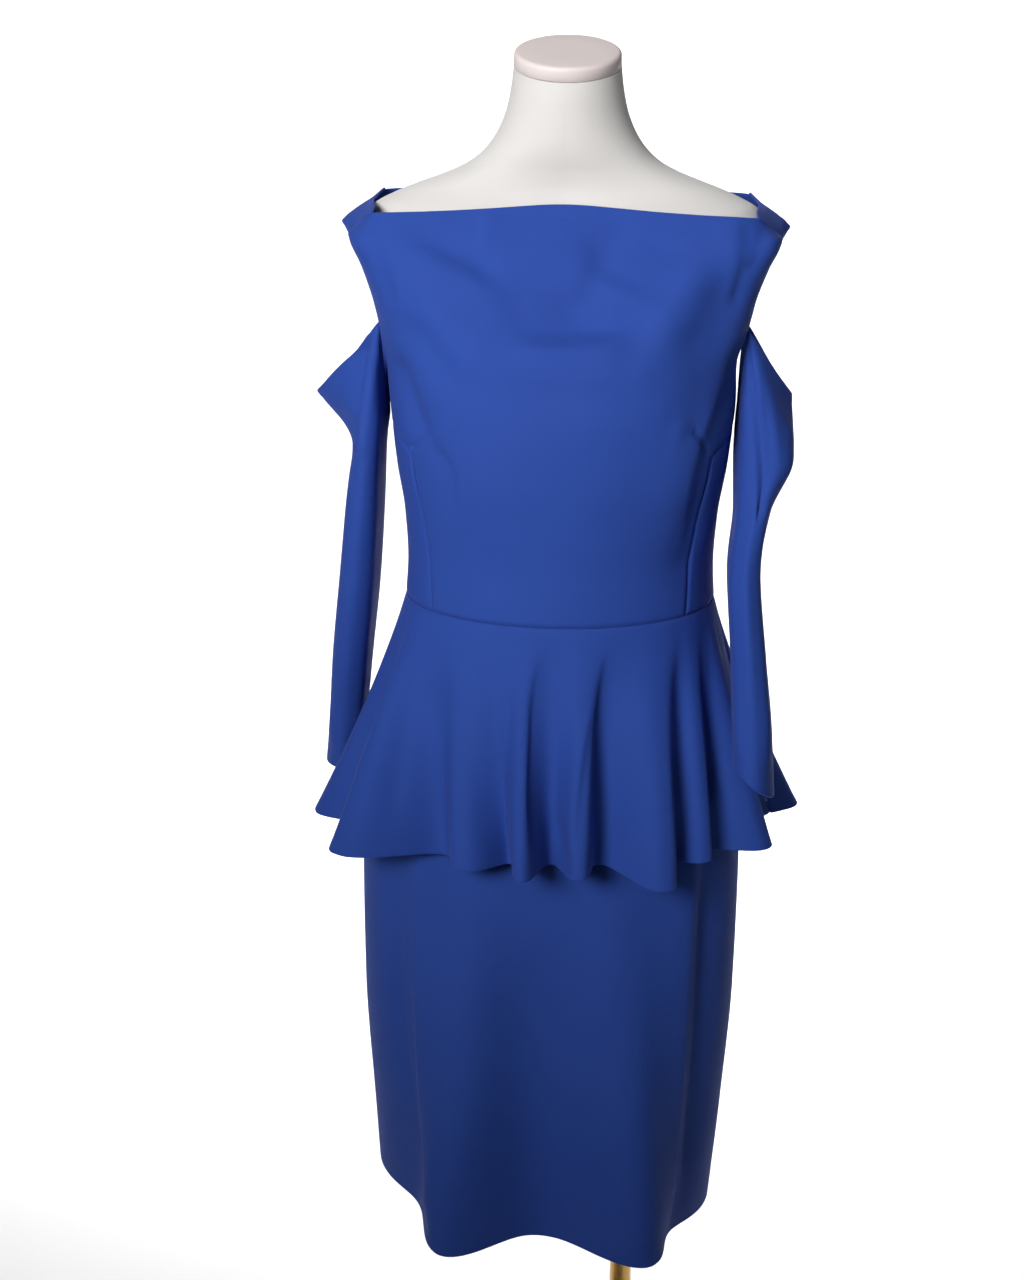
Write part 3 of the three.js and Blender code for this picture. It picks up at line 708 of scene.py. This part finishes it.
def crepe(name):
    """Smooth matte stretch crepe: fine pebbled threads, faint unevenness, a soft sheen."""
    m = Nodes(name)
    cloth = m.new("ShaderNodeUVMap", uv_map="cloth").outputs["UV"]
    threads = m.math("ADD", m.bands(cloth, 480, "X", 1.5), m.bands(cloth, 520, "Y", 1.5))
    pebbles = m.noise(cloth, 900, 2.0, 0.6)
    clouds = m.noise(cloth, 14, 3.0)
    slubs = m.noise(cloth, 90, 2.0)
    fine = m.bump(m.math("ADD", threads, pebbles), 0.00012, 0.5)
    normal = m.bump(slubs, 0.0006, 0.12, fine)
    base = m.colour(
        CREPE_BLUE, m.span(clouds, 0.95, 1.05), m.span(pebbles, 0.93, 1.07), m.span(threads, 0.97, 1.02)
    )
    return m.finish(
        Base_Color=base, Roughness=m.span(slubs, 0.66, 0.8), Normal=normal, Specular_IOR_Level=0.12,
        Sheen_Weight=0.12, Sheen_Roughness=0.42, Sheen_Tint=(0.35, 0.38, 1.0, 1.0),
    )


def jersey(name):
    """The form's off-white cover: fine ribs of knitted jersey, slightly mottled."""
    m = Nodes(name)
    cloth = m.new("ShaderNodeUVMap", uv_map="cloth").outputs["UV"]
    ribs = m.bands(cloth, 330, "X", 0.6)
    courses = m.bands(cloth, 420, "Y", 0.6)
    mottle = m.noise(cloth, 22, 4.0)
    grain = m.noise(cloth, 700, 2.0)
    normal = m.bump(m.math("ADD", ribs, m.math("MULTIPLY", courses, grain)), 0.00015, 0.35)
    base = m.colour(
        FORM_WHITE, m.span(mottle, 0.97, 1.02), m.span(grain, 0.975, 1.015), m.span(ribs, 0.985, 1.01)
    )
    return m.finish(
        Base_Color=base, Roughness=m.span(mottle, 0.72, 0.84), Normal=normal, Specular_IOR_Level=0.25,
        Sheen_Weight=0.25, Sheen_Roughness=0.55,
    )


def moulded(name):
    """The cap: matte plastic with a fine grain and a faint mottle."""
    m = Nodes(name)
    place = m.new("ShaderNodeTexCoord").outputs["Object"]
    mottle = m.noise(place, 30, 4.0)
    grain = m.noise(place, 900, 2.0)
    base = m.colour(CAP_PINK, m.span(mottle, 0.95, 1.04), m.span(grain, 0.97, 1.02))
    normal = m.bump(grain, 0.00012, 0.4)
    rough = m.span(mottle, 0.5, 0.64)
    return m.finish(Base_Color=base, Roughness=rough, Normal=normal, Specular_IOR_Level=0.35)


def polished_brass(name):
    """Lacquered brass: fine drawn lines, faint tarnish."""
    m = Nodes(name)
    place = m.new("ShaderNodeTexCoord").outputs["Object"]
    stretched = m.new("ShaderNodeMapping", {"Vector": place, "Scale": (1.0, 1.0, 0.02)}).outputs["Vector"]
    lines = m.noise(stretched, 900, 2.0)
    tarnish = m.noise(place, 18, 5.0, 0.6)
    base = m.colour(BRASS, m.span(tarnish, 0.86, 1.06), m.span(lines, 0.96, 1.03))
    rough = m.math("ADD", m.span(tarnish, 0.2, 0.3), m.span(lines, -0.03, 0.05))
    return m.finish(Base_Color=base, Metallic=1.0, Roughness=rough, Normal=m.bump(lines, 0.00003, 0.3))


CREPE_BLUE = (0.019, 0.055, 0.280)
FORM_WHITE = (0.58, 0.562, 0.545)
CAP_PINK = (0.66, 0.585, 0.570)
BRASS = (0.66, 0.40, 0.12)

crepe_blue = crepe("blue_crepe")
jersey_white = jersey("form_jersey")
cap_plastic = moulded("cap_plastic")
brass = polished_brass("brass")

# Dress: creases of the front, as x and z, from the neckline to the waist

FRONT_CREASES = (
    Crease(-5.0, (56, 22), (64, 1384), (50, 1348), (38, 1316), fade=0.3),
    Crease(3.0, (12, 20), (24, 1364), (16, 1334), (2, 1300)),
    Crease(-2.4, (30, 7), (-58, 1298), (-22, 1281), (34, 1281), (84, 1312)),
    Crease(4.2, (8, 22), (-66, 1267), (0, 1262), (80, 1277)),
    Crease(-0.8, 4, (-52, 1258), (0, 1254), (57, 1260)),
    Crease(-0.7, 4, (-48, 1247), (0, 1243), (53, 1250)),
    Crease(-3.6, (13, 10), (-156, 1370), (-112, 1354), (-76, 1336), (-54, 1312)),
    Crease(3.2, (11, 20), (-160, 1346), (-112, 1332), (-72, 1313), (-40, 1287)),
    Crease(2.0, (20, 7), (-70, 1388), (-74, 1345), fade=0.3),
    Crease(-4.6, (5, 13), (-152, 1252), (-139, 1212), (-124, 1176), fade=0.22),
    Crease(-3.0, (5, 10), (-128, 1186), (-114, 1165), (-102, 1146), (-100, 1095)),
    Crease(-3.0, 14, (-160, 1298), (-120, 1255), (-92, 1218)),
    Crease(2.6, 17, (-150, 1318), (-108, 1282), (-74, 1238)),
    Crease(5.4, (9, 30), (160, 1272), (142, 1219), (125, 1179), (116, 1137), (110, 1050)),
    Crease(-5.0, (9, 16), (172, 1272), (158, 1222), (143, 1182)),
    Crease(-6.0, 20, (164, 1356), (131, 1281), (103, 1230)),
    Crease(2.6, (18, 12), (140, 1368), (100, 1300), (72, 1246)),
    Crease(-4.4, (14, 4), (168, 1386), (166, 1337), (158, 1290), fade=0.25),
    Crease(-3.2, (9, 4), (184, 1378), (179, 1352), (174, 1326), fade=0.25),
    Crease(-2.8, (5, 8), (-180, 1382), (-169, 1338), (-156, 1290), fade=0.25),
    Crease(-3.0, (17, 16), (60, 1368), (110, 1358), (164, 1360)),
    Crease(1.6, 13, (-114, 1190), (-106, 1184), (-98, 1180), fade=0.45),
    Crease(1.6, 13, (98, 1194), (108, 1192), (118, 1188), fade=0.45),
    Crease(-2.2, (8, 16), (128, 1140), (124, 1090), (118, 1030), fade=0.3),
)
FRONT_DARTS = (
    Crease(-2.8, 2.5, (-142, 1161), (-132, 1170), (-119, 1180), fade=0.12),
    Crease(-2.8, 2.5, (137, 1163), (130, 1175), (119, 1190), fade=0.12),
)
BACK_CREASES = (
    Crease(-3.0, 16, (-150, 1330), (-104, 1290), (-60, 1268)),
    Crease(2.2, 15, (-140, 1292), (-92, 1258), (-44, 1240)),
    Crease(-2.8, 15, (148, 1336), (108, 1302), (52, 1282)),
    Crease(2.4, 17, (144, 1296), (96, 1262), (40, 1252)),
    Crease(-1.8, 9, (-130, 1120), (-70, 1098), (-14, 1092)),
    Crease(1.4, 8, (-126, 1098), (-70, 1078), (-16, 1072)),
    Crease(-1.8, 9, (132, 1112), (76, 1090), (16, 1084)),
    Crease(1.2, 8, (128, 1088), (70, 1066), (18, 1060)),
    Crease(-2.0, (12, 5), (-168, 1386), (-164, 1340), (-158, 1300), fade=0.25),
    Crease(-2.0, (5, 12), (170, 1386), (166, 1344), (158, 1304), fade=0.25),
    Crease(-1.4, 20, (-84, 1380), (-20, 1352), (48, 1362)),
)
BACK_DARTS = (
    Crease(-1.2, 2.0, (-78, 1012), (-76, 1080), (-80, 1150), fade=0.15),
    Crease(-1.2, 2.0, (78, 1012), (76, 1080), (80, 1150), fade=0.15),
)
SIDE_CREASES = (
    Crease(-1.4, 9, (118, 1150), (128, 1095), (126, 1040)),
    Crease(1.0, 8, (136, 1160), (140, 1100), (134, 1050)),
)

# Creases of the sleeves, peplum and skirt, as distance round and along, from these angles and shares

AROUND = 3.4
SLEEVE_AROUND = 1.0
SKIRT_LENGTH = 615
SLEEVE_LENGTH = 400


def round_crease(depth, widths, *points, around=AROUND, along=SKIRT_LENGTH, **how):
    return Crease(depth, widths, *((a * around, -t * along) for a, t in points), **how)


def sleeve_crease(depth, widths, *points, **how):
    return round_crease(depth, widths, *points, around=SLEEVE_AROUND, along=SLEEVE_LENGTH, **how)


PEPLUM_CREASES = {
    "front": (
        Crease(3.0, (14, 7), (-148, 982), (-176, 890), (-200, 800)),
        Crease(-3.0, (10, 16), (-136, 975), (-146, 881), (-162, 786)),
        Crease(-2.4, 15, (-98, 950), (-74, 868), (-60, 786)),
        Crease(3.6, (4, 10), (-56, 984), (-49, 930), (-45, 870), (-37, 784)),
        Crease(-5.6, (14, 5), (-11, 988), (-20, 930), (-20, 880), (-14, 790), (-9, 772)),
        Crease(-3.6, 5, (2, 830), (8, 800), (14, 778)),
        Crease(3.0, (3, 8), (33, 945), (24, 880), (14, 786)),
        Crease(-6.0, (15, 5), (52, 992), (44, 940), (42, 895), (43, 830), (47, 775)),
        Crease(-4.6, (13, 5), (116, 988), (115, 930), (116, 880), (127, 778)),
        Crease(-2.4, (8, 4), (136, 975), (150, 880), (170, 784)),
    ),
    "back": (
        Crease(-2.0, 10, (128, 985), (168, 880), (196, 786)),
        Crease(1.8, 9, (102, 985), (130, 880), (148, 786)),
        Crease(-2.6, 9, (72, 990), (92, 880), (104, 786)),
        Crease(-2.4, 10, (34, 990), (38, 900), (40, 786)),
        Crease(-2.2, 8, (-30, 990), (-34, 880), (-36, 786)),
        Crease(1.6, 9, (-62, 990), (-72, 880), (-86, 786)),
        Crease(-2.6, 10, (-84, 985), (-102, 880), (-116, 786)),
        Crease(-2.0, 10, (-122, 985), (-150, 880), (-176, 786)),
    ),
}
SKIRT_CREASES = (
    round_crease(
        6.5, (30, 9), (-50, 0.3), (-48.5, 0.5), (-46, 0.68), (-43, 0.8), (-37, 0.9), (-30, 1.0), fade=0.12,
    ),
    round_crease(-4.0, (7, 16), (-59, 0.3), (-57, 0.5), (-54, 0.7), (-48, 0.88)),
    round_crease(6.5, (9, 30), (54, 0.3), (52, 0.5), (49.5, 0.7), (45.5, 1.0), fade=0.12),
    round_crease(-6.0, (26, 8), (59, 0.34), (58, 0.5), (57, 0.7), (56, 0.97), fade=0.2),
    round_crease(-3.5, 60, (-8, 0.5), (-10, 0.8), (-8, 1.0), fade=0.25),
    round_crease(1.5, 26, (-34, 0.35), (-30, 0.5), (-24, 0.7)),
    round_crease(-1.6, 24, (34, 0.35), (30, 0.55), (24, 0.8)),
    round_crease(3.0, 26, (122, 0.35), (126, 0.6), (130, 0.95)),
    round_crease(-3.0, 22, (146, 0.4), (148, 0.65), (150, 0.98)),
    round_crease(2.4, 26, (166, 0.35), (168, 0.65), (172, 0.98)),
    round_crease(-2.6, 24, (196, 0.4), (196, 0.7), (194, 0.98)),
    round_crease(3.2, 28, (230, 0.35), (228, 0.6), (226, 0.95)),
)
SLEEVE_CREASES = {
    "left": (
        sleeve_crease(
            -9.0, (24, 6), (106, 0.0), (113, 0.04), (118, 0.09), (121, 0.15), (123, 0.24), fade=0.12,
        ),
        sleeve_crease(3.4, (5, 20), (95, 0.0), (101, 0.04), (106, 0.09), (109, 0.15), (110, 0.25), fade=0.12),
        sleeve_crease(3.0, 18, (84, 0.06), (64, 0.16), (58, 0.3), (52, 0.6), (50, 0.95), fade=0.12),
        sleeve_crease(3.2, 20, (138, 0.2), (132, 0.4), (128, 0.65), (130, 0.97), fade=0.15),
        sleeve_crease(-2.0, 10, (168, 0.08), (156, 0.14), (140, 0.2)),
        sleeve_crease(-2.2, 14, (250, 0.2), (262, 0.5), (270, 0.8)),
        sleeve_crease(2.0, 12, (222, 0.15), (232, 0.4), (240, 0.7)),
    ),
    "right": (
        sleeve_crease(-6.0, (22, 6), (84, 0.0), (78, 0.08), (75, 0.18), (82, 0.28), (106, 0.4), fade=0.12),
        sleeve_crease(3.0, 15, (66, 0.01), (54, 0.12), (48, 0.3), (44, 0.6), (46, 0.96), fade=0.1),
        sleeve_crease(3.0, 16, (92, 0.22), (118, 0.4), (132, 0.6), (130, 0.97), fade=0.2),
        sleeve_crease(-2.8, (10, 12), (118, 0.06), (105, 0.13), (101, 0.2), (108, 0.3)),
        sleeve_crease(3.0, 16, (158, 0.1), (140, 0.22), (132, 0.32)),
        sleeve_crease(-2.2, 14, (256, 0.2), (262, 0.5), (266, 0.8)),
        sleeve_crease(1.8, 12, (226, 0.15), (236, 0.4), (236, 0.7)),
    ),
}

# Seams and hems


def seam(distance, dip=SEAM_DIP):
    return -dip * bell(distance, SEAM_REACH)


class Hem:
    """A turned hem: doubled cloth up to its inner edge, where a faint groove shows the hand stitches."""

    EXTRA_CLOTH, EXTRA_FADE = 0.9, 2
    STEP_FADE = 1.5
    GROOVE_REACH = 1.6

    def __init__(self, width, step, groove):
        self.width, self.step, self.groove = width, step, groove

    def relief(self, distance):
        rise = smoothstep(self.width + self.STEP_FADE, self.width - self.STEP_FADE, distance)
        return self.step * rise - self.groove * bell(distance - self.width, self.GROOVE_REACH)

    def thickness(self, distance):
        return self.EXTRA_CLOTH * smoothstep(self.width + self.EXTRA_FADE, self.width, distance)


BODICE_HEM = Hem(12, 0.2, 0.15)
RIM_HEM = Hem(9, 0.3, 0.4)
CUFF_HEM = Hem(12, 0.2, 0.15)
PEPLUM_HEM = Hem(10, 0.15, 0.12)
SKIRT_FOLD = Hem(30, 0.1, 0.08)

# Pieces of the dress. A grid is even but for finer steps at its edges, and NEAR steps give its slope.
# The share lengths are roughly what a share of 1 measures on the bodice.

NEAR = (0.002, 0.002)
NEAR_DEGREES = (0.2, 0.002)
SHARE_LENGTH, BACK_SHARE_LENGTH = 200, 110
SHIFT = HALF_SEAM / SHARE_LENGTH
CENTRE_SHIFT = HALF_SEAM / BACK_SHARE_LENGTH
LOW_ROWS, HIGH_ROWS, STRAP_ROWS = 56, 80, 20
FRONT_COLUMNS, FRONT_EDGE_COLUMNS = 124, 14
SIDE_COLUMNS = 18
BACK_COLUMNS, BACK_EDGE_COLUMNS = 62, 16
SLEEVE_COLUMNS, SLEEVE_ROWS = 120, 134
PEPLUM_COLUMNS, PEPLUM_ROWS = 290, 74
SKIRT_COLUMNS, SKIRT_ROWS = 160, 164

# Over these distances creases fade out towards a sewn edge
BODICE_FADE, SIDE_FADE, SLEEVE_FADE, PEPLUM_FADE, SKIRT_FADE = 25, 20, 14, 30, 60

# A sleeve is sewn to the armhole up to the first angle, and its rim is free from the second
SLEEVE_SEWN, SLEEVE_FREE = 84, 96


def cloth_piece(name, grid, relief, thick, sewn=np.inf, **how):
    obj = shell(name, grid, relief, thick, sewn, **how)
    finished(obj, name, crepe_blue)


def bodice_rows():
    low = spaced(0, PRINCESS_TOP, LOW_ROWS)
    high = spaced(PRINCESS_TOP + SHIFT, 1, HIGH_ROWS)
    return low[:-1] + high + spaced(1, 2, STRAP_ROWS)[1:]


def bodice_finish(grid, edge, princess, folds, darts):
    """Relief but for the seams, thickness, and distance from the seams that front and back have alike. edge
    and princess are each point's distance from the side edges and from the lines of the princess seams."""
    x, z = grid.p[..., 0], grid.p[..., 2]
    strap = grid.v > 1
    from_waist = grid.from_row(0)
    relief = creased(x, z, folds) * smoothstep(0, BODICE_FADE, from_waist) + creased(x, z, darts)
    relief = relief * np.where(strap, 0, 1)
    open_armhole = z > APEX
    neckline = np.where(strap, princess, where(np.abs(grid.u) < PRINCESS, grid.from_row(1)))
    hem = nearest(where(open_armhole, edge), neckline)
    sewn = nearest(from_waist, where(strap, grid.from_row(2)), where(~open_armhole, edge))
    return relief + BODICE_HEM.relief(hem), CLOTH + BODICE_HEM.thickness(hem), sewn


def bodice_front():
    """One wide panel. Its grid reaches over the side panels, whose quads are left out below the bust dart."""
    edge = PRINCESS - SHIFT
    side = spaced(1, edge, FRONT_EDGE_COLUMNS)
    cols = [-a for a in side] + spaced(-edge, edge, FRONT_COLUMNS)[1:-1] + side[::-1]
    grid = Grid(cols, bodice_rows(), bodice_surface("front"), NEAR)
    princess = grid.from_cols(-edge, edge)
    relief, thick, sewn = bodice_finish(grid, grid.from_cols(-1, 1), princess, FRONT_CREASES, FRONT_DARTS)
    low = grid.v < PRINCESS_TOP
    above_side = (np.abs(grid.u) > edge) & ~low
    sewn = nearest(sewn, where(low, princess), where(above_side, grid.from_row(PRINCESS_TOP + SHIFT)))

    def keep(g, i, j):
        strip = (i < len(side) - 1) | (i >= len(cols) - len(side))
        row = g.rows[j]
        return np.where(row >= 1, strip, (row >= PRINCESS_TOP) | ~strip)

    cloth_piece("bodice_front", grid, relief + seam(sewn), thick, sewn, keep=keep)


def bodice_side(name, side):
    across = [side * a for a in spaced(PRINCESS + SHIFT, 1, SIDE_COLUMNS)]
    cols = across[::-1] if side < 0 else across
    grid = Grid(cols, spaced(0, PRINCESS_TOP - SHIFT, LOW_ROWS), bodice_surface("front"), NEAR)
    sewn = nearest(grid.from_row(0), grid.from_row(1), grid.from_cols(cols[0], cols[-1]))
    folds = creased(np.abs(grid.p[..., 0]), grid.p[..., 2], SIDE_CREASES)
    folds = folds * smoothstep(0, SIDE_FADE, grid.from_row(0))
    cloth_piece("bodice_side_" + name, grid, folds + seam(sewn), CLOTH, sewn)


def bodice_back(name, side):
    across = spaced(CENTRE_SHIFT, PRINCESS, BACK_COLUMNS)[:-3] + spaced(PRINCESS, 1, BACK_EDGE_COLUMNS)
    cols = across[::-1] if side > 0 else across
    grid = Grid(cols, bodice_rows(), bodice_surface("back", side), NEAR)
    edge, princess = grid.from_cols(1), grid.from_cols(PRINCESS)
    relief, thick, sewn = bodice_finish(grid, edge, princess, BACK_CREASES, BACK_DARTS)
    sewn = nearest(sewn, where(grid.v <= 1, grid.from_cols(CENTRE_SHIFT)))

    def keep(g, i, j):
        first = np.minimum(g.cols[i], g.cols[(i + 1) % len(cols)])
        return (g.rows[j] < 1) | (first >= PRINCESS - 1e-9)

    cloth_piece("bodice_back_" + name, grid, relief + seam(sewn), thick, sewn, keep=keep)


def sleeve(name):
    spec = SLEEVES[name]
    turn = list(np.linspace(0, 360, SLEEVE_COLUMNS, endpoint=False))
    cols = turn[::-1] if spec["side"] < 0 else turn
    grid = Grid(cols, spaced(1, 0, SLEEVE_ROWS), sleeve_surface(**spec), NEAR_DEGREES)
    rim, cuff = grid.from_row(0), grid.from_row(1)
    free = smoothstep(SLEEVE_SEWN, SLEEVE_FREE, np.abs(angle_between(grid.u, 0)))
    relief = creased(grid.u * SLEEVE_AROUND, -grid.v * SLEEVE_LENGTH, SLEEVE_CREASES[name])
    relief = relief * smoothstep(0, SLEEVE_FADE, rim + SLEEVE_FADE * free)
    relief = relief + mix(seam(rim), RIM_HEM.relief(rim), free) + CUFF_HEM.relief(cuff)
    relief = relief + seam(grid.from_cols(0) + UNDERARM_SHARP, UNDERARM_DIP)
    thick = CLOTH + RIM_HEM.thickness(rim) * free + CUFF_HEM.thickness(cuff)
    cloth_piece("sleeve_" + name, grid, relief, thick, around=True)


HALVES = {"front": (-90, 90), "back": (90, 270)}


def half_angles(face, gap):
    shift = math.degrees(gap / float(read(BODICE, "z", "half", WAIST_SIDE)))
    low, high = HALVES[face]
    return low + shift, high - shift


def peplum(face):
    cols = spaced(*half_angles(face, SEAM), PEPLUM_COLUMNS)
    grid = Grid(cols, spaced(1, 0, PEPLUM_ROWS), peplum_surface, NEAR_DEGREES)
    top, hem, sides = grid.from_row(0), grid.from_row(1), grid.from_cols(cols[0], cols[-1])
    relief = creased(grid.p[..., 0], grid.p[..., 2], PEPLUM_CREASES[face])
    relief = relief * smoothstep(0, PEPLUM_FADE, top) + PEPLUM_HEM.relief(hem)
    relief = relief + seam(top, PEPLUM_DIP) + seam(sides)
    thick = CLOTH + PEPLUM_HEM.thickness(hem)
    cloth_piece("peplum_" + face, grid, relief, thick, nearest(top, sides))


def skirt(face):
    cols = spaced(*half_angles(face, HALF_SEAM), SKIRT_COLUMNS)
    grid = Grid(cols, spaced(1, 0, SKIRT_ROWS), skirt_surface, NEAR_DEGREES)
    top, hem, sides = grid.from_row(0), grid.from_row(1), grid.from_cols(cols[0], cols[-1])
    relief = creased(grid.u * AROUND, -grid.v * SKIRT_LENGTH, SKIRT_CREASES)
    relief = relief * smoothstep(0, SKIRT_FADE, top) + SKIRT_FOLD.relief(hem) + seam(sides)
    thick = CLOTH + SKIRT_FOLD.thickness(hem)
    cloth_piece("skirt_" + face, grid, relief, thick, nearest(top, sides))


bodice_front()
for name, side in (("left", -1), ("right", 1)):
    bodice_side(name, side)
    bodice_back(name, side)
for name in SLEEVES:
    sleeve(name)
for face in HALVES:
    peplum(face)
    skirt(face)

# Dress form

FORM_BOTTOM, FORM_TOP = float(FORM["z"][0]), float(FORM["z"][-1])
FORM_COLUMNS = 144
SHOULDER_START = 1360
BODY_STEP, SHOULDER_STEP = 6, 2
SMOOTHING_REACH, SMOOTHING_SPREAD, SMOOTHING_SAMPLES = 10, 7, 17


def smoothed(name, rows):
    """A column of the form's table, averaged over nearby heights."""
    offsets = np.linspace(-SMOOTHING_REACH, SMOOTHING_REACH, SMOOTHING_SAMPLES)
    weights = bell(offsets, SMOOTHING_SPREAD)
    shifted = [w * read(FORM, "z", name, rows + o) for w, o in zip(weights, offsets)]
    return (sum(shifted) / weights.sum())[:, None]


def form_torso():
    body = np.arange(FORM_BOTTOM, SHOULDER_START, BODY_STEP)
    shoulders = np.arange(SHOULDER_START, FORM_TOP, SHOULDER_STEP)
    rows = np.concatenate([body, shoulders, [FORM_TOP]])
    a, z = np.meshgrid(np.linspace(0, 360, FORM_COLUMNS, endpoint=False), rows)
    depth = face_depth(a, smoothed("front", rows), smoothed("back", rows))
    p = polar(a, section_radius(a, smoothed("half", rows), depth, 2), z)
    up = np.clip((z - NECK_START) / (FORM_TOP - NECK_START), 0, 1)
    p[..., 2] += p[..., 1] * math.tan(math.radians(NECK_TILT)) * up ** NECK_TILT_POWER
    p[..., 1] -= NECK_LEAN * up
    finished(closed_tube("form_torso_cover", p), "form_torso", jersey_white)


def closed_tube(name, p):
    """A closed body from rings of points, the first ring at the bottom."""
    rows, cols = p.shape[:2]
    index = np.arange(rows * cols).reshape(rows, cols)
    after = np.roll(index, -1, axis=1)
    quads = np.stack([index[:-1], after[:-1], after[1:], index[1:]], -1).reshape(-1, 4)
    bottom, top = np.full(cols, rows * cols), np.full(cols, rows * cols + 1)
    fans = np.concatenate([
        np.stack([bottom, after[0], index[0]], -1),
        np.stack([top, index[-1], after[-1]], -1),
    ])
    turn = np.cumsum(np.linalg.norm(np.diff(p, axis=1, prepend=p[:, :1]), axis=-1), axis=1)
    rise = np.cumsum(np.linalg.norm(np.diff(p, axis=0, prepend=p[:1]), axis=-1), axis=0)
    uv = np.concatenate([np.stack([turn, rise], -1).reshape(-1, 2), [[0, 0], [0, 0]]])
    points = np.concatenate([p.reshape(-1, 3), p[[0, -1]].mean(1)])
    return mesh_object(name, points, [quads, fans], uv)


form_torso()

# Round parts, each turned from a profile of radius and height

ROUND_COLUMNS = 128
BEVEL_STEPS = 6
FOOT_BEVEL = 0.8
TOP_INNER = 1.0


def rounded_edge(radius, height, bevel):
    a = np.radians(np.linspace(0, 90, BEVEL_STEPS))
    return [*zip(radius - bevel + bevel * np.cos(a), height - bevel + bevel * np.sin(a))]


def round_part(name, material, radius, height, bevel, place, tilt=0):
    profile = [(radius - FOOT_BEVEL, 0), (radius, FOOT_BEVEL), *rounded_edge(radius, height, bevel)]
    profile += [(radius / 2, height), (TOP_INNER, height)]
    degrees = np.linspace(0, 360, ROUND_COLUMNS, endpoint=False)
    rings = np.array([polar(degrees, r, np.full(degrees.shape, h)) for r, h in profile])
    c, s = math.cos(math.radians(tilt)), math.sin(math.radians(tilt))
    rings = rings @ np.array([[1, 0, 0], [0, c, s], [0, -s, c]]) + np.array(place)
    finished(closed_tube(name + "_visual", rings), name, material)


def neck_cap():
    place = (0, -NECK_LEAN, FORM_TOP + SEAM)
    round_part(
        "form_neck_cap", cap_plastic, CAP_RADIUS, CAP_HEIGHT, CAP_ROUND, place, tilt=NECK_TILT,
    )


def stand():
    flange_bottom = BASE_HEIGHT + SEAM
    pole_bottom = flange_bottom + FLANGE_HEIGHT + SEAM
    socket_bottom = FORM_BOTTOM - SEAM - SOCKET_HEIGHT
    pole_length = socket_bottom - SEAM - pole_bottom
    for name, radius, height, bevel, x, bottom in (
        ("stand_base", BASE_RADIUS, BASE_HEIGHT, BASE_ROUND, 0, 0),
        ("stand_flange", FLANGE_RADIUS, FLANGE_HEIGHT, FLANGE_ROUND, POLE_X, flange_bottom),
        ("stand_pole", POLE_RADIUS, pole_length, POLE_ROUND, POLE_X, pole_bottom),
        ("stand_socket", SOCKET_RADIUS, SOCKET_HEIGHT, SOCKET_ROUND, POLE_X, socket_bottom),
    ):
        round_part(name, brass, radius, height, bevel, (x, 0, bottom))


neck_cap()
stand()

# Backdrop and light

BACKDROP_WIDTH = 16
BACKDROP_NEAR, BACKDROP_FAR = -6, 5.6
BACKDROP_BEND, BACKDROP_HEIGHT = 1.6, 6
BACKDROP_STEPS = 33
BACKDROP_GREY = (0.84, 0.84, 0.84, 1.0)
WORLD_WHITE = (1.0, 1.0, 1.0, 1.0)
WORLD_STRENGTH = 0.06


def backdrop():
    """Pale paper that lies on the floor and bends up behind the object. Its sizes are in metres."""
    a = np.radians(np.linspace(0, 90, BACKDROP_STEPS))
    y = [BACKDROP_NEAR, *(BACKDROP_FAR - BACKDROP_BEND + BACKDROP_BEND * np.sin(a)), BACKDROP_FAR]
    z = [0, *(BACKDROP_BEND - BACKDROP_BEND * np.cos(a)), BACKDROP_HEIGHT]
    half = BACKDROP_WIDTH / 2
    points = np.array([(x, b, c) for b, c in zip(y, z) for x in (-half, half)]) / MM
    rows = np.arange(len(y) - 1) * 2
    obj = mesh_object("backdrop", points, [np.stack([rows, rows + 1, rows + 3, rows + 2], -1)])
    m = Nodes("backdrop_paper")
    obj.data.materials.append(m.finish(Base_Color=BACKDROP_GREY, Roughness=0.9))
    obj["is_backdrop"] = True


def softbox(name, place, towards, size, power, spread):
    data = bpy.data.lights.new(name, "AREA")
    data.shape = "DISK"
    data.size = size
    data.energy = power
    data.spread = math.radians(spread)
    light = bpy.data.objects.new(name, data)
    light.location = place
    light.rotation_euler = (Vector(towards) - Vector(place)).to_track_quat("-Z", "Y").to_euler()
    bpy.context.scene.collection.objects.link(light)


def world_light():
    world = bpy.data.worlds.new("studio")
    world.use_nodes = True
    background = world.node_tree.nodes["Background"]
    background.inputs["Color"].default_value = WORLD_WHITE
    background.inputs["Strength"].default_value = WORLD_STRENGTH
    bpy.context.scene.world = world


backdrop()
softbox("key", (-1.2, -2.4, 2.15), (0, 0, 1.40), size=1.4, power=9.4, spread=42)
softbox("fill", (2.2, -1.8, 2.0), (0, 0, 1.60), size=1.6, power=1.2, spread=50)
softbox("backdrop_floor", (0, 1.9, 2.9), (0, 1.9, 0), size=1.8, power=60, spread=100)
softbox("backdrop_left", (-2.2, 2.4, 3.4), (-0.6, 5.6, 1.0), size=1.6, power=80, spread=120)
softbox("backdrop_right", (2.2, 2.4, 3.4), (0.6, 5.6, 1.0), size=1.6, power=80, spread=120)
world_light()
bpy.context.scene.view_settings.view_transform = "Standard"

# Sizes of the part and of this scene, in metres

visual_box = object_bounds()


def plain(value):
    """Nested lists and numbers, as JSON can hold them."""
    if isinstance(value, dict):
        return {key: plain(v) for key, v in value.items()}
    if isinstance(value, (list, tuple, Vector)):
        return [plain(v) for v in value]
    return value if isinstance(value, str) else float(value)


{"cad": plain(cad_box), "visual": plain(visual_box)}
